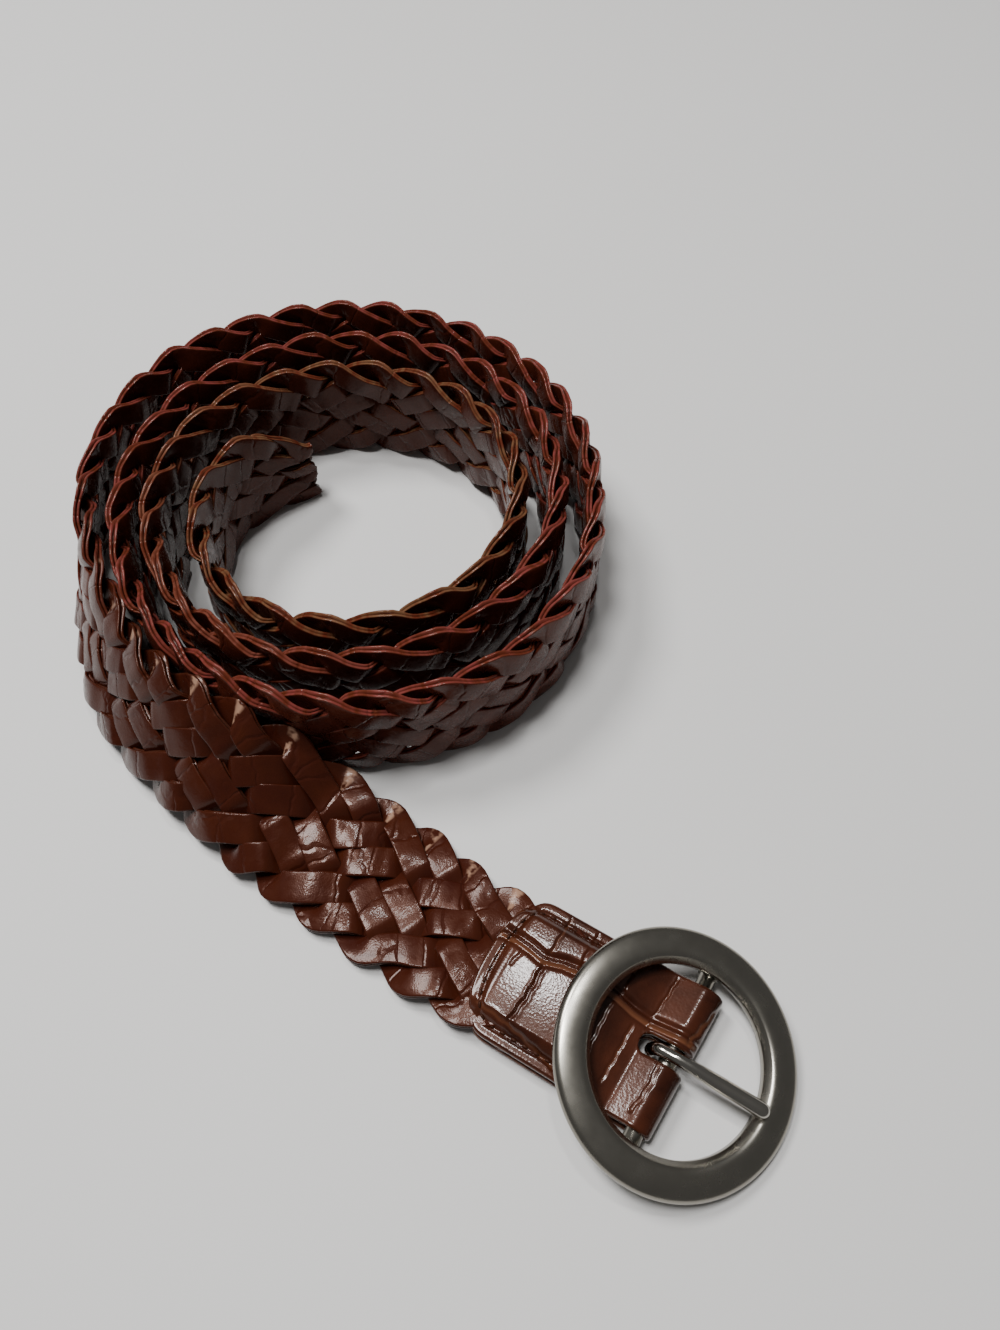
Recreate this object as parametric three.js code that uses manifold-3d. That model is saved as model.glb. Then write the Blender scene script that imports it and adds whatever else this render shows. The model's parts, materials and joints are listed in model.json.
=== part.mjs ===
// A braided leather belt, rolled up on edge, with its buckle end laid out flat on the surface.
// Millimetres, +Z up. +X runs along the buckle end, from the coil towards the ring. The origin is
// on the surface, under the middle of the belt's bounding box.
// The braid comes out of the coil, twists over and lies flat. Its end is sewn between the two
// leaves of a folded leather tab. The fold holds the bar of a round ring buckle, and a prong turns
// on the same bar through a slot in the fold.

import * as THREE from 'three';
import { mergeVertices } from 'three/addons/utils/BufferGeometryUtils.js';
import Module from 'manifold-3d';

// Driving dimensions of the braid
const BRAID_WIDTH = 33;          // over the tips of the scallops
const BRAID_THICKNESS = 4.2;     // middle of the braid, two strips deep
const BRAID_EDGE = 2.8;          // thickness along the edges, where strips turn back
const COIL_PITCH = 13.4;         // a strip turns back at both edges once in this length
const RUN_PITCH = 12.5;          // the same in the flat run
const RUN_LENGTH = 145;          // from the sewn end back to where the pitch changes
const TIP_FROM_END = 61.5;       // from the sewn end back to one pair of scallop tips
const SCALLOP_DEPTH = 1.5;
const RUN_SPREAD = 2;            // how much wider the loose part of the flat run is
const RUN_SHIFT = 2;             // how far that part lies over to the coil's side
const RUN_LOOSENING = 40;        // length over which it spreads, from each of its ends
const FREE_END_TAPER = 12;       // length over which the free end narrows
const FREE_END_WIDTH = 22;
const SEWN_END_TAPER = 24;       // length over which the sewn end narrows
const SEWN_END_WIDTH = 30;

// Driving dimensions of the coil and of the flat run
const COIL_RADIUS = 68;          // middle of the band at its widest turn
const COIL_BEHIND_BAR = 137.7;   // from the bar back to the middle of the coil
const COIL_BESIDE_BAR = 79.8;    // from the buckle's line across to the middle of the coil
const TAB_ENTRY_RISE = 18;       // length in which the braid climbs on to the lower leaf

// Driving dimensions of the tab
const TAB_WIDTH = 33;
const TAB_LENGTH = 48.5;         // from the rounded end to the fold
const TAB_END_DEPTH = 9;         // length of the rounded end
const TAB_POCKET = 25;           // depth of braid held between the leaves
const BRAID_END_CLEARANCE = 1.5; // between the braid's end and the bottom of that pocket
const TAB_DIP = 1.5;             // how far the upper leaf sinks between braid and bar
const TAB_DIP_START = 12.5;      // from the bar back to where it has sunk
const FOLD_SWEEP = 110;          // degrees of the fold above the bar's level
const LEAF_THICKNESS = 2;
const SLOT_LENGTH = 11.5;        // from the fold
const SLOT_SIDE_CLEARANCE = 0.45;

// Driving dimensions of the buckle
const RING_OUTER_DIAMETER = 53.5;
const RING_INNER_DIAMETER = 38;
const RING_THICKNESS = 4;
const RING_BEVEL = 1.2;          // slope round the inner edge
const RING_TILT = 15;            // degrees, leaning back on the tab
const BAR_DIAMETER = 4;
const LUG_DIAMETER = 5;
const PRONG_DIAMETER = 3.6;
const PRONG_REACH = 22;          // from the bar to the tip
const PRONG_EYE_WALL = 1.8;
const BAR_CLEARANCE = 0.25;      // between the bar and what turns on it
const SEAM_GAP = 0.3;            // between pieces that meet

// Fineness of the meshes
const STATIONS_PER_SCALLOP = 4;
const ROUTE_STEP = 1;
const JOINING_STEPS = 3;         // steps of the coil that shape the start of the run's curve
const RING_SEGMENTS = 56;
const ROUND_SEGMENTS = 16;

// How the coil runs from its free end outwards, counter-clockwise from above. turn is the angle
// from +X in whole turns, reach is the radius there as a share of COIL_RADIUS, and lean is how far
// the band has rolled over, in degrees: 0 on edge, 90 flat.
const COIL_TABLE = [
  { turn: 0.424, reach: 0.382, lean: 0 },
  { turn: 0.585, reach: 0.51, lean: 0 },
  { turn: 0.835, reach: 0.671, lean: 0 },
  { turn: 1.085, reach: 0.695, lean: 0 },
  { turn: 1.335, reach: 0.618, lean: 0 },
  { turn: 1.585, reach: 0.701, lean: 0 },
  { turn: 1.835, reach: 0.815, lean: 0 },
  { turn: 2.085, reach: 0.847, lean: 0 },
  { turn: 2.335, reach: 0.803, lean: 0 },
  { turn: 2.585, reach: 0.83, lean: 0 },
  { turn: 2.71, reach: 0.885, lean: 0 },
  { turn: 2.835, reach: 0.985, lean: 0 },
  { turn: 2.95, reach: 1.03, lean: 0 },
  { turn: 3.085, reach: 0.99, lean: 0 },
  { turn: 3.2, reach: 0.98, lean: 0 },
  { turn: 3.335, reach: 0.995, lean: 0 },
  { turn: 3.46, reach: 1.02, lean: 0 },
  { turn: 3.53, reach: 1.015, lean: 4 },
  { turn: 3.597, reach: 1.02, lean: 13 },
];

// The run from the coil to the tab. along and aside are shares of the straight distance between
// them, aside to the left, and lean is as above.
const RUN_TABLE = [
  { along: 0.081, aside: -0.056, lean: 22 },
  { along: 0.211, aside: -0.115, lean: 35 },
  { along: 0.306, aside: -0.134, lean: 34 },
  { along: 0.382, aside: -0.133, lean: 38 },
  { along: 0.467, aside: -0.124, lean: 47 },
  { along: 0.52, aside: -0.112, lean: 60 },
  { along: 0.587, aside: -0.096, lean: 80 },
  { along: 0.699, aside: -0.078, lean: 90 },
  { along: 0.818, aside: -0.05, lean: 90 },
  { along: 0.904, aside: -0.027, lean: 90 },
  { along: 1, aside: 0, lean: 90 },
];

// The turns at which the braid is divided into lengths
const INNER_TURN_END = 1.585;
const MIDDLE_TURN_END = 2.585;
const OUTER_TURN_END = 3.53;

// Sizes that follow from the driving dimensions
const barRadius = BAR_DIAMETER / 2;
const foldRadius = barRadius + BAR_CLEARANCE + LEAF_THICKNESS;
const barHeight = foldRadius;
const ringTilt = THREE.MathUtils.degToRad(RING_TILT);
const ringHeight = (RING_OUTER_DIAMETER / 2) * Math.sin(ringTilt)
  + (RING_THICKNESS / 2) * Math.cos(ringTilt);
const barDrop = (ringHeight - barHeight) / Math.cos(ringTilt);
const braidLift = LEAF_THICKNESS + SEAM_GAP;
const pocketHeight = BRAID_THICKNESS + 2 * SEAM_GAP;
const slotWidth = PRONG_DIAMETER + 2 * SLOT_SIDE_CLEARANCE;

const wasm = await Module();
wasm.setup();

// A closed three.js geometry as a solid that can be joined and cut
function solidOf(geometry) {
  const bare = geometry.clone();
  bare.deleteAttribute('normal');
  bare.deleteAttribute('uv');
  const merged = mergeVertices(bare, 1e-4);
  return new wasm.Manifold(new wasm.Mesh({
    numProp: 3,
    vertProperties: new Float32Array(merged.attributes.position.array),
    triVerts: new Uint32Array(merged.index.array),
  }));
}

// A solid as a three.js geometry again
function geometryOf(solid) {
  const mesh = solid.getMesh();
  const positions = new Float32Array(mesh.vertProperties);
  const geometry = new THREE.BufferGeometry();
  geometry.setAttribute('position', new THREE.BufferAttribute(positions, 3));
  geometry.setIndex(new THREE.BufferAttribute(new Uint32Array(mesh.triVerts), 1));
  geometry.computeVertexNormals();
  return geometry;
}

// Closes a row of equal rings of points into a body with flat ends. The points of each ring run
// counter-clockwise as seen from the far end of the row.
function loft(rings) {
  const count = rings[0].length;
  const positions = rings.flat().flatMap((point) => [point.x, point.y, point.z]);
  const index = [];
  for (let ring = 0; ring < rings.length - 1; ring += 1) {
    for (let i = 0; i < count; i += 1) {
      const next = (i + 1) % count;
      const a = ring * count + i;
      const b = ring * count + next;
      index.push(a, b, b + count, a, b + count, a + count);
    }
  }
  const last = (rings.length - 1) * count;
  for (let i = 1; i < count - 1; i += 1) {
    index.push(0, i + 1, i, last, last + i, last + i + 1);
  }
  const geometry = new THREE.BufferGeometry();
  geometry.setAttribute('position', new THREE.Float32BufferAttribute(positions, 3));
  geometry.setIndex(index);
  geometry.computeVertexNormals();
  return geometry;
}

// The braid's route seen from above, as points a short step apart, each with its lean
function coilPoints() {
  const turns = COIL_TABLE.map((row) => row.turn);
  const reaches = COIL_TABLE.map((row) => row.reach * COIL_RADIUS);
  const radii = new THREE.CubicInterpolant(turns, reaches, 1, [0]);
  const leans = new THREE.LinearInterpolant(turns, COIL_TABLE.map((row) => row.lean), 1, [0]);
  const first = turns[0];
  const last = turns[turns.length - 1];
  const steps = Math.ceil(((last - first) * 2 * Math.PI * COIL_RADIUS) / ROUTE_STEP);
  return Array.from({ length: steps + 1 }, (_, i) => {
    const turn = first + ((last - first) * i) / steps;
    const radius = radii.evaluate(turn)[0];
    const angle = turn * 2 * Math.PI;
    const x = radius * Math.cos(angle) - COIL_BEHIND_BAR;
    const y = radius * Math.sin(angle) + COIL_BESIDE_BAR;
    return { place: new THREE.Vector3(x, y, 0), lean: leans.evaluate(turn)[0] };
  });
}

function runPoints(coil) {
  const before = coil[coil.length - 1 - JOINING_STEPS];
  const exit = coil[coil.length - 1];
  const end = new THREE.Vector3(foldRadius - TAB_LENGTH + TAB_POCKET - BRAID_END_CLEARANCE, 0, 0);
  const along = end.clone().sub(exit.place);
  const aside = new THREE.Vector3(-along.y, along.x, 0);
  const places = RUN_TABLE.map((row) => exit.place.clone()
    .addScaledVector(along, row.along)
    .addScaledVector(aside, row.aside));
  const knots = [before.place, exit.place, ...places];
  const curve = new THREE.CatmullRomCurve3(knots, false, 'centripetal');
  const keys = [-1, 0, ...RUN_TABLE.map((row) => row.along)];
  const values = [before.lean, exit.lean, ...RUN_TABLE.map((row) => row.lean)];
  const leans = new THREE.LinearInterpolant(keys, values, 1, [0]);
  const length = along.length();
  const past = (JOINING_STEPS + 1) * ROUTE_STEP;
  return curve.getSpacedPoints(Math.ceil(length / ROUTE_STEP))
    .filter((place) => place.distanceTo(exit.place) > ROUTE_STEP)
    .filter((place) => place.distanceTo(before.place) > past)
    .map((place) => {
      const share = place.clone().sub(exit.place).dot(along) / (length * length);
      return { place, lean: leans.evaluate(share)[0] };
    });
}

function braidRoute() {
  const coil = coilPoints();
  const points = [...coil, ...runPoints(coil)];
  const lengths = [0];
  for (let i = 1; i < points.length; i += 1) {
    lengths.push(lengths[i - 1] + points[i].place.distanceTo(points[i - 1].place));
  }
  return { points, lengths, total: lengths[lengths.length - 1], coilSteps: coil.length - 1 };
}

const route = braidRoute();

// The distance along the braid at which the coil reaches a turn
function distanceAtTurn(turn) {
  const first = COIL_TABLE[0].turn;
  const last = COIL_TABLE[COIL_TABLE.length - 1].turn;
  return route.lengths[Math.round((route.coilSteps * (turn - first)) / (last - first))];
}

function pointAt(distance) {
  const { points, lengths } = route;
  let i = 1;
  while (i < lengths.length - 1 && lengths[i] < distance) i += 1;
  const share = (distance - lengths[i - 1]) / (lengths[i] - lengths[i - 1]);
  return {
    place: points[i - 1].place.clone().lerp(points[i].place, share),
    lean: THREE.MathUtils.lerp(points[i - 1].lean, points[i].lean, share),
  };
}

// Where the band stands at a distance along the braid, and which way its width and face point
function bandFrame(distance) {
  const { place, lean } = pointAt(distance);
  const ahead = pointAt(distance + 2 * ROUTE_STEP).place;
  const heading = ahead.sub(pointAt(distance - 2 * ROUTE_STEP).place).normalize();
  const left = new THREE.Vector3(-heading.y, heading.x, 0);
  const up = new THREE.Vector3(0, 0, 1);
  const roll = THREE.MathUtils.degToRad(lean);
  const across = up.clone().multiplyScalar(Math.cos(roll)).addScaledVector(left, Math.sin(roll));
  const outward = up.clone().multiplyScalar(Math.sin(roll)).addScaledVector(left, -Math.cos(roll));
  const tabEdge = route.total - TAB_POCKET - BRAID_THICKNESS;
  const lift = braidLift * THREE.MathUtils.smoothstep(distance, tabEdge - TAB_ENTRY_RISE, tabEdge);
  const height = (BRAID_WIDTH / 2) * Math.cos(roll) + (BRAID_THICKNESS / 2) * Math.sin(roll) + lift;
  return { middle: place.addScaledVector(up, height), across, outward };
}

// Distances along the braid counted in scallops, and back. Both edges have a tip at each whole
// number, and 0 is the pair of tips that TIP_FROM_END names.
const pitchChange = route.total - RUN_LENGTH;
const stepsAtChange = (TIP_FROM_END - RUN_LENGTH) / RUN_PITCH;

function stepsAt(distance) {
  const beyond = distance - pitchChange;
  return stepsAtChange + beyond / (beyond > 0 ? RUN_PITCH : COIL_PITCH);
}

function distanceAt(steps) {
  const beyond = steps - stepsAtChange;
  return pitchChange + beyond * (beyond > 0 ? RUN_PITCH : COIL_PITCH);
}

// How much of the flat run's spread the braid has at a distance along it
function looseness(distance) {
  const start = THREE.MathUtils.smoothstep(distance, pitchChange, pitchChange + RUN_LOOSENING);
  const tabEdge = route.total - TAB_POCKET;
  return start * (1 - THREE.MathUtils.smoothstep(distance, tabEdge - RUN_LOOSENING, tabEdge));
}

// How far the braid's edge on one side is from its middle line, with one scallop for each strip
// that turns back there
function edgePlace(distance, side) {
  const scallop = SCALLOP_DEPTH * (1 - Math.abs(Math.cos(Math.PI * stepsAt(distance))));
  const free = 1 - THREE.MathUtils.smoothstep(distance, 0, FREE_END_TAPER);
  const sewn = THREE.MathUtils.smoothstep(distance, route.total - SEWN_END_TAPER, route.total);
  const narrower = free * (BRAID_WIDTH - FREE_END_WIDTH) + sewn * (BRAID_WIDTH - SEWN_END_WIDTH);
  const loose = looseness(distance);
  const width = BRAID_WIDTH - narrower + loose * RUN_SPREAD;
  return side * (width / 2 - scallop) + loose * RUN_SHIFT;
}

// The braid's cross-section, counter-clockwise. wide is a share of the half width, and thick is a
// share of the half thickness there.
const SECTION = [
  { side: 1, wide: 1, thick: -1, edge: true },
  { side: 1, wide: 1, thick: 1, edge: true },
  { side: 1, wide: 0.66, thick: 1, edge: false },
  { side: -1, wide: 0.66, thick: 1, edge: false },
  { side: -1, wide: 1, thick: 1, edge: true },
  { side: -1, wide: 1, thick: -1, edge: true },
  { side: -1, wide: 0.66, thick: -1, edge: false },
  { side: 1, wide: 0.66, thick: -1, edge: false },
];

function braidLength(from, to) {
  const stations = [from];
  const first = Math.ceil(stepsAt(from) * STATIONS_PER_SCALLOP);
  const last = Math.floor(stepsAt(to) * STATIONS_PER_SCALLOP);
  const shortest = COIL_PITCH / STATIONS_PER_SCALLOP / 4;
  for (let i = first; i <= last; i += 1) {
    const distance = distanceAt(i / STATIONS_PER_SCALLOP);
    if (distance > from + shortest && distance < to - shortest) stations.push(distance);
  }
  stations.push(to);
  const rings = stations.map((distance) => {
    const { middle, across, outward } = bandFrame(distance);
    const centre = (edgePlace(distance, 1) + edgePlace(distance, -1)) / 2;
    return SECTION.map((row) => {
      const half = edgePlace(distance, row.side) - centre;
      return middle.clone()
        .addScaledVector(across, centre + half * row.wide)
        .addScaledVector(outward, (row.thick * (row.edge ? BRAID_EDGE : BRAID_THICKNESS)) / 2);
    });
  });
  return loft(rings);
}

// The folded tab seen from the side, with the tunnel for the bar, and its outline from above
function tabSide() {
  const end = foldRadius - TAB_LENGTH;
  const pocketEnd = end + TAB_POCKET;
  const top = 2 * LEAF_THICKNESS + pocketHeight;
  const tunnel = barRadius + BAR_CLEARANCE;
  const side = new THREE.Shape();
  side.moveTo(end, 0);
  side.lineTo(0, 0);
  side.absarc(0, barHeight, foldRadius, -Math.PI / 2, THREE.MathUtils.degToRad(FOLD_SWEEP), false);
  side.lineTo(-2 * foldRadius, top - TAB_DIP - SEAM_GAP);
  side.lineTo(-TAB_DIP_START, top - TAB_DIP);
  side.lineTo(pocketEnd + LEAF_THICKNESS, top);
  side.lineTo(end, top);
  side.lineTo(end, top - LEAF_THICKNESS);
  side.lineTo(pocketEnd, top - LEAF_THICKNESS);
  side.lineTo(pocketEnd, LEAF_THICKNESS);
  side.lineTo(end, LEAF_THICKNESS);
  side.closePath();
  const hole = new THREE.Path();
  hole.absarc(0, barHeight, tunnel, 0, 2 * Math.PI, true);
  side.holes.push(hole);
  return side;
}

function tabOutline() {
  const round = foldRadius - TAB_LENGTH + TAB_END_DEPTH;
  const half = TAB_WIDTH / 2;
  const outline = new THREE.Shape();
  outline.moveTo(2 * foldRadius, -half);
  outline.lineTo(2 * foldRadius, half);
  outline.lineTo(round, half);
  outline.absellipse(round, 0, TAB_END_DEPTH, half, Math.PI / 2, Math.PI * 1.5, false, 0);
  outline.closePath();
  return outline;
}

function slotOutline() {
  const outline = new THREE.Shape();
  const round = foldRadius - SLOT_LENGTH + slotWidth / 2;
  outline.moveTo(2 * foldRadius, slotWidth / 2);
  outline.lineTo(round, slotWidth / 2);
  outline.absarc(round, 0, slotWidth / 2, Math.PI / 2, Math.PI * 1.5, false);
  outline.lineTo(2 * foldRadius, -slotWidth / 2);
  outline.closePath();
  return outline;
}

// A flat shape raised from below the surface to above the belt
function prism(shape) {
  const reach = 4 * foldRadius;
  const geometry = new THREE.ExtrudeGeometry(shape, {
    depth: 2 * reach, bevelEnabled: false, curveSegments: ROUND_SEGMENTS,
  });
  geometry.translate(0, 0, -reach);
  return geometry;
}

function tabGeometry() {
  const body = new THREE.ExtrudeGeometry(tabSide(), {
    depth: TAB_WIDTH, bevelEnabled: false, curveSegments: ROUND_SEGMENTS,
  });
  body.rotateX(Math.PI / 2);
  body.translate(0, TAB_WIDTH / 2, 0);
  const outline = solidOf(prism(tabOutline()));
  const slot = solidOf(prism(slotOutline()));
  return geometryOf(solidOf(body).intersect(outline).subtract(slot));
}

// The ring and its bar, about the middle of the ring, with the ring's plane level
function ringGeometry() {
  const inner = RING_INNER_DIAMETER / 2;
  const outer = RING_OUTER_DIAMETER / 2;
  const half = RING_THICKNESS / 2;
  const rim = new THREE.Shape();
  rim.moveTo(inner, -half + RING_BEVEL);
  rim.lineTo(inner + RING_BEVEL / 2, -half);
  rim.lineTo(outer - RING_BEVEL, -half);
  rim.quadraticCurveTo(outer, -half, outer, 0);
  rim.quadraticCurveTo(outer, half * 0.8, outer - 2 * RING_BEVEL, half);
  rim.lineTo(inner + 2 * RING_BEVEL, half);
  rim.lineTo(inner, half - RING_BEVEL);
  rim.closePath();
  const profile = rim.getPoints(4);
  const ring = new THREE.LatheGeometry(profile, RING_SEGMENTS);
  ring.rotateX(Math.PI / 2);
  const lugPlace = inner + LUG_DIAMETER / 2;
  const bar = new THREE.CylinderGeometry(barRadius, barRadius, 2 * lugPlace, ROUND_SEGMENTS);
  bar.translate(0, 0, -barDrop);
  let solid = solidOf(ring).add(solidOf(bar));
  const lugRadius = LUG_DIAMETER / 2;
  const lugHeight = barDrop + barRadius;
  for (const side of [-1, 1]) {
    const lug = new THREE.CylinderGeometry(lugRadius, lugRadius, lugHeight, ROUND_SEGMENTS);
    lug.rotateX(Math.PI / 2);
    lug.translate(0, side * lugPlace, -lugHeight / 2);
    solid = solid.add(solidOf(lug));
  }
  return geometryOf(solid);
}

// The prong about the bar's centre line: a flat eye, and a round shank that lies on the rim
function prongGeometry() {
  const hole = barRadius + BAR_CLEARANCE;
  const eyeOutline = new THREE.Shape();
  eyeOutline.absarc(0, 0, hole + PRONG_EYE_WALL, 0, 2 * Math.PI, false);
  const eyeHole = new THREE.Path();
  eyeHole.absarc(0, 0, hole, 0, 2 * Math.PI, true);
  eyeOutline.holes.push(eyeHole);
  const eye = new THREE.ExtrudeGeometry(eyeOutline, {
    depth: PRONG_DIAMETER, bevelEnabled: false, curveSegments: ROUND_SEGMENTS / 2,
  });
  eye.rotateX(Math.PI / 2);
  eye.translate(0, PRONG_DIAMETER / 2, 0);

  const radius = PRONG_DIAMETER / 2;
  const start = hole + radius;
  const rimTop = barDrop * Math.cos(ringTilt) - PRONG_REACH * Math.sin(ringTilt)
    + (RING_THICKNESS / 2) / Math.cos(ringTilt) + radius + BAR_CLEARANCE;
  const path = new THREE.CatmullRomCurve3([
    new THREE.Vector3(-radius / 2, 0, start),
    new THREE.Vector3(radius, 0, start),
    new THREE.Vector3(PRONG_REACH / 2, 0, (start + rimTop) / 2),
    new THREE.Vector3(PRONG_REACH - radius, 0, rimTop),
  ]);
  const section = new THREE.Shape();
  section.absarc(0, 0, radius, 0, 2 * Math.PI, false);
  const shank = new THREE.ExtrudeGeometry(section, {
    extrudePath: path, steps: 10, bevelEnabled: false, curveSegments: ROUND_SEGMENTS / 2,
  });
  const tip = new THREE.SphereGeometry(radius, ROUND_SEGMENTS, ROUND_SEGMENTS / 2);
  tip.translate(PRONG_REACH - radius, 0, rimTop);
  const crown = new THREE.SphereGeometry(radius, ROUND_SEGMENTS, ROUND_SEGMENTS / 2);
  crown.translate(-radius / 2, 0, start);
  const solid = solidOf(eye).add(solidOf(shank)).add(solidOf(tip)).add(solidOf(crown));
  return geometryOf(solid);
}

function finish(color, roughness, metalness) {
  return new THREE.MeshStandardMaterial({ color, roughness, metalness });
}

const braidLeather = finish(0x5a2a18, 0.45, 0);
const tabLeather = finish(0x6b3019, 0.3, 0);
const satinNickel = finish(0x8d8a84, 0.35, 1);
const polishedNickel = finish(0xa8a6a2, 0.15, 1);

function named(name, geometry, material) {
  const mesh = new THREE.Mesh(geometry, material);
  mesh.name = name;
  return mesh;
}

const innerEnd = distanceAtTurn(INNER_TURN_END);
const middleEnd = distanceAtTurn(MIDDLE_TURN_END);
const outerEnd = distanceAtTurn(OUTER_TURN_END);

const belt = new THREE.Group();
belt.add(named('braid_inner_turn', braidLength(0, innerEnd), braidLeather));
belt.add(named('braid_middle_turn', braidLength(innerEnd + SEAM_GAP, middleEnd), braidLeather));
belt.add(named('braid_outer_turn', braidLength(middleEnd + SEAM_GAP, outerEnd), braidLeather));
belt.add(named('braid_front_run', braidLength(outerEnd + SEAM_GAP, route.total), braidLeather));
belt.add(named('buckle_tab', tabGeometry(), tabLeather));

const buckle = new THREE.Group();
buckle.position.set(0, 0, barHeight);
const ring = named('buckle_ring', ringGeometry(), satinNickel);
ring.rotation.y = ringTilt;
ring.position.set(barDrop * Math.sin(ringTilt), 0, barDrop * Math.cos(ringTilt));
buckle.add(ring);
buckle.add(named('buckle_prong', prongGeometry(), polishedNickel));
belt.add(buckle);

// The origin goes to the middle of the belt's footprint, on the surface
belt.updateMatrixWorld(true);
const bounds = new THREE.Box3().setFromObject(belt, true);
const middle = bounds.getCenter(new THREE.Vector3());
belt.position.set(-middle.x, -middle.y, -bounds.min.z);

export default belt;
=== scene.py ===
"""A braided leather belt, rolled up on edge, with its round ring buckle laid out flat.

Metres, +Z up, in the frame of the CAD model. The braid's eight strips are woven one by one along
the route that the CAD model's band follows, the folded tab is a shaped sheet of embossed leather,
and the ring and the prong are smooth castings in the place of the CAD model's faceted ones.
"""

import json
import logging
import math
from dataclasses import dataclass, field
from enum import Enum

import bmesh
import bpy
import numpy as np
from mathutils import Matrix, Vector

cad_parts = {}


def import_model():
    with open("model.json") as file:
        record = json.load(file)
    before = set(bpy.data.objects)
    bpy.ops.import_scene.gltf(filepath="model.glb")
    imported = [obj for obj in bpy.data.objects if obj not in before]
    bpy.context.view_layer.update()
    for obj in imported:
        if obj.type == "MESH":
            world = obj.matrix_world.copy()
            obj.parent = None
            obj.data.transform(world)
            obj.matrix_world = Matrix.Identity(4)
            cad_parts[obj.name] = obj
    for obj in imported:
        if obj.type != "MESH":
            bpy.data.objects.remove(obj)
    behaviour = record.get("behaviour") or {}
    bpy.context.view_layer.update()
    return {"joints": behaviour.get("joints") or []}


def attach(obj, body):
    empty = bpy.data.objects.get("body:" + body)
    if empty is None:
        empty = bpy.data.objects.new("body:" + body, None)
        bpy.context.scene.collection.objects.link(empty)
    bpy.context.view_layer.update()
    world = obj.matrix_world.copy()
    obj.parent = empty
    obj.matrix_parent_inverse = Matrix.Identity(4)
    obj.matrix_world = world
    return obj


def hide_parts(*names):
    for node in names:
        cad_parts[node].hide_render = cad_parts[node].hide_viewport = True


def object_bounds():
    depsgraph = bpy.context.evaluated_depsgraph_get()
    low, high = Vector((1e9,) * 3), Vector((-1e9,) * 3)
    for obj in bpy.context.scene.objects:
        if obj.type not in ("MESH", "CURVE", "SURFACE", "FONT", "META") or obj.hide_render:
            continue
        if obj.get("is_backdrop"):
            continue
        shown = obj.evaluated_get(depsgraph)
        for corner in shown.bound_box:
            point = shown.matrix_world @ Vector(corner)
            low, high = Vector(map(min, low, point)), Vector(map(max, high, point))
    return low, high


LOG = logging.getLogger("belt")
MM = 0.001
BRAID_NODES = ("braid_inner_turn", "braid_middle_turn", "braid_outer_turn", "braid_front_run")
NOISE_COUNT = 400
NOISE_START = 20
UV_SCALE = 10.0
STRIP_UV_GAP = 0.02


class Side(Enum):
    """The two edges of the braid, by the sign of the way across."""

    UPPER = 1
    LOWER = -1


@dataclass(frozen=True)
class CoilRow:
    """One place on the coil: turn in whole turns from +X, reach as a share, lean in degrees."""

    turn: float
    reach: float
    lean: float = 0.0


@dataclass(frozen=True)
class RunRow:
    """One place between coil and tab: shares of the straight way, and lean in degrees."""

    along: float
    aside: float
    lean: float


COIL_ROWS = (
    CoilRow(0.424, 0.382), CoilRow(0.585, 0.51), CoilRow(0.835, 0.671), CoilRow(1.085, 0.695),
    CoilRow(1.335, 0.618), CoilRow(1.585, 0.701), CoilRow(1.835, 0.815), CoilRow(2.085, 0.847),
    CoilRow(2.335, 0.803), CoilRow(2.585, 0.83), CoilRow(2.71, 0.885), CoilRow(2.835, 0.985),
    CoilRow(2.95, 1.03), CoilRow(3.085, 0.99), CoilRow(3.2, 0.98), CoilRow(3.335, 0.995),
    CoilRow(3.46, 1.02), CoilRow(3.53, 1.015, 4), CoilRow(3.597, 1.02, 13),
)

RUN_ROWS = (
    RunRow(0.081, -0.056, 22), RunRow(0.211, -0.115, 35), RunRow(0.306, -0.134, 34),
    RunRow(0.382, -0.133, 38), RunRow(0.467, -0.124, 47), RunRow(0.52, -0.112, 60),
    RunRow(0.587, -0.096, 80), RunRow(0.699, -0.078, 90), RunRow(0.818, -0.05, 90),
    RunRow(0.904, -0.027, 90), RunRow(1.0, 0.0, 90),
)


def smooth(value: np.ndarray) -> np.ndarray:
    """Returns an even rise from 0 to 1 for values from 0 to 1, held flat beyond them."""
    share = np.clip(value, 0.0, 1.0)
    return share * share * (3 - 2 * share)


def bell(distance: np.ndarray, width: float) -> np.ndarray:
    """Returns a soft bump of height 1 at distance 0, and of about that width."""
    return np.exp(-((distance / width) ** 2))


def ramp_noise(rng: np.random.Generator, places: np.ndarray) -> np.ndarray:
    """Makes a smooth random line through evenly spaced random values.

    Args:
        rng: The source of the random values.
        places: Where the line is read, in steps from the first value.

    Returns:
        The line's height at each place, mostly between -1 and 1.
    """
    values = rng.uniform(-1, 1, NOISE_COUNT + 2)
    low = np.clip(np.floor(places).astype(int), 0, NOISE_COUNT)
    share = smooth(places - low)
    return values[low] * (1 - share) + values[low + 1] * share


def rounded(knots: np.ndarray, fine: int = 40) -> np.ndarray:
    """Returns many points on a centripetal curve through the knots, fine of them to a span."""
    padded = np.vstack([2 * knots[0] - knots[1], knots, 2 * knots[-1] - knots[-2]])
    points = []
    for p0, p1, p2, p3 in zip(padded, padded[1:], padded[2:], padded[3:]):
        d0, d1, d2 = (math.sqrt(np.linalg.norm(b - a)) for a, b in ((p0, p1), (p1, p2), (p2, p3)))
        out = ((p1 - p0) / d0 - (p2 - p0) / (d0 + d1) + (p2 - p1) / d1) * d1
        into = ((p2 - p1) / d1 - (p3 - p1) / (d1 + d2) + (p3 - p2) / d2) * d1
        for u in np.arange(fine) / fine:
            rise = 3 * u * u - 2 * u**3
            curve = p1 * (1 - rise) + p2 * rise
            points.append(curve + out * (u**3 - 2 * u * u + u) + into * (u**3 - u * u))
    return np.array(points + [knots[-1]])


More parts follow.
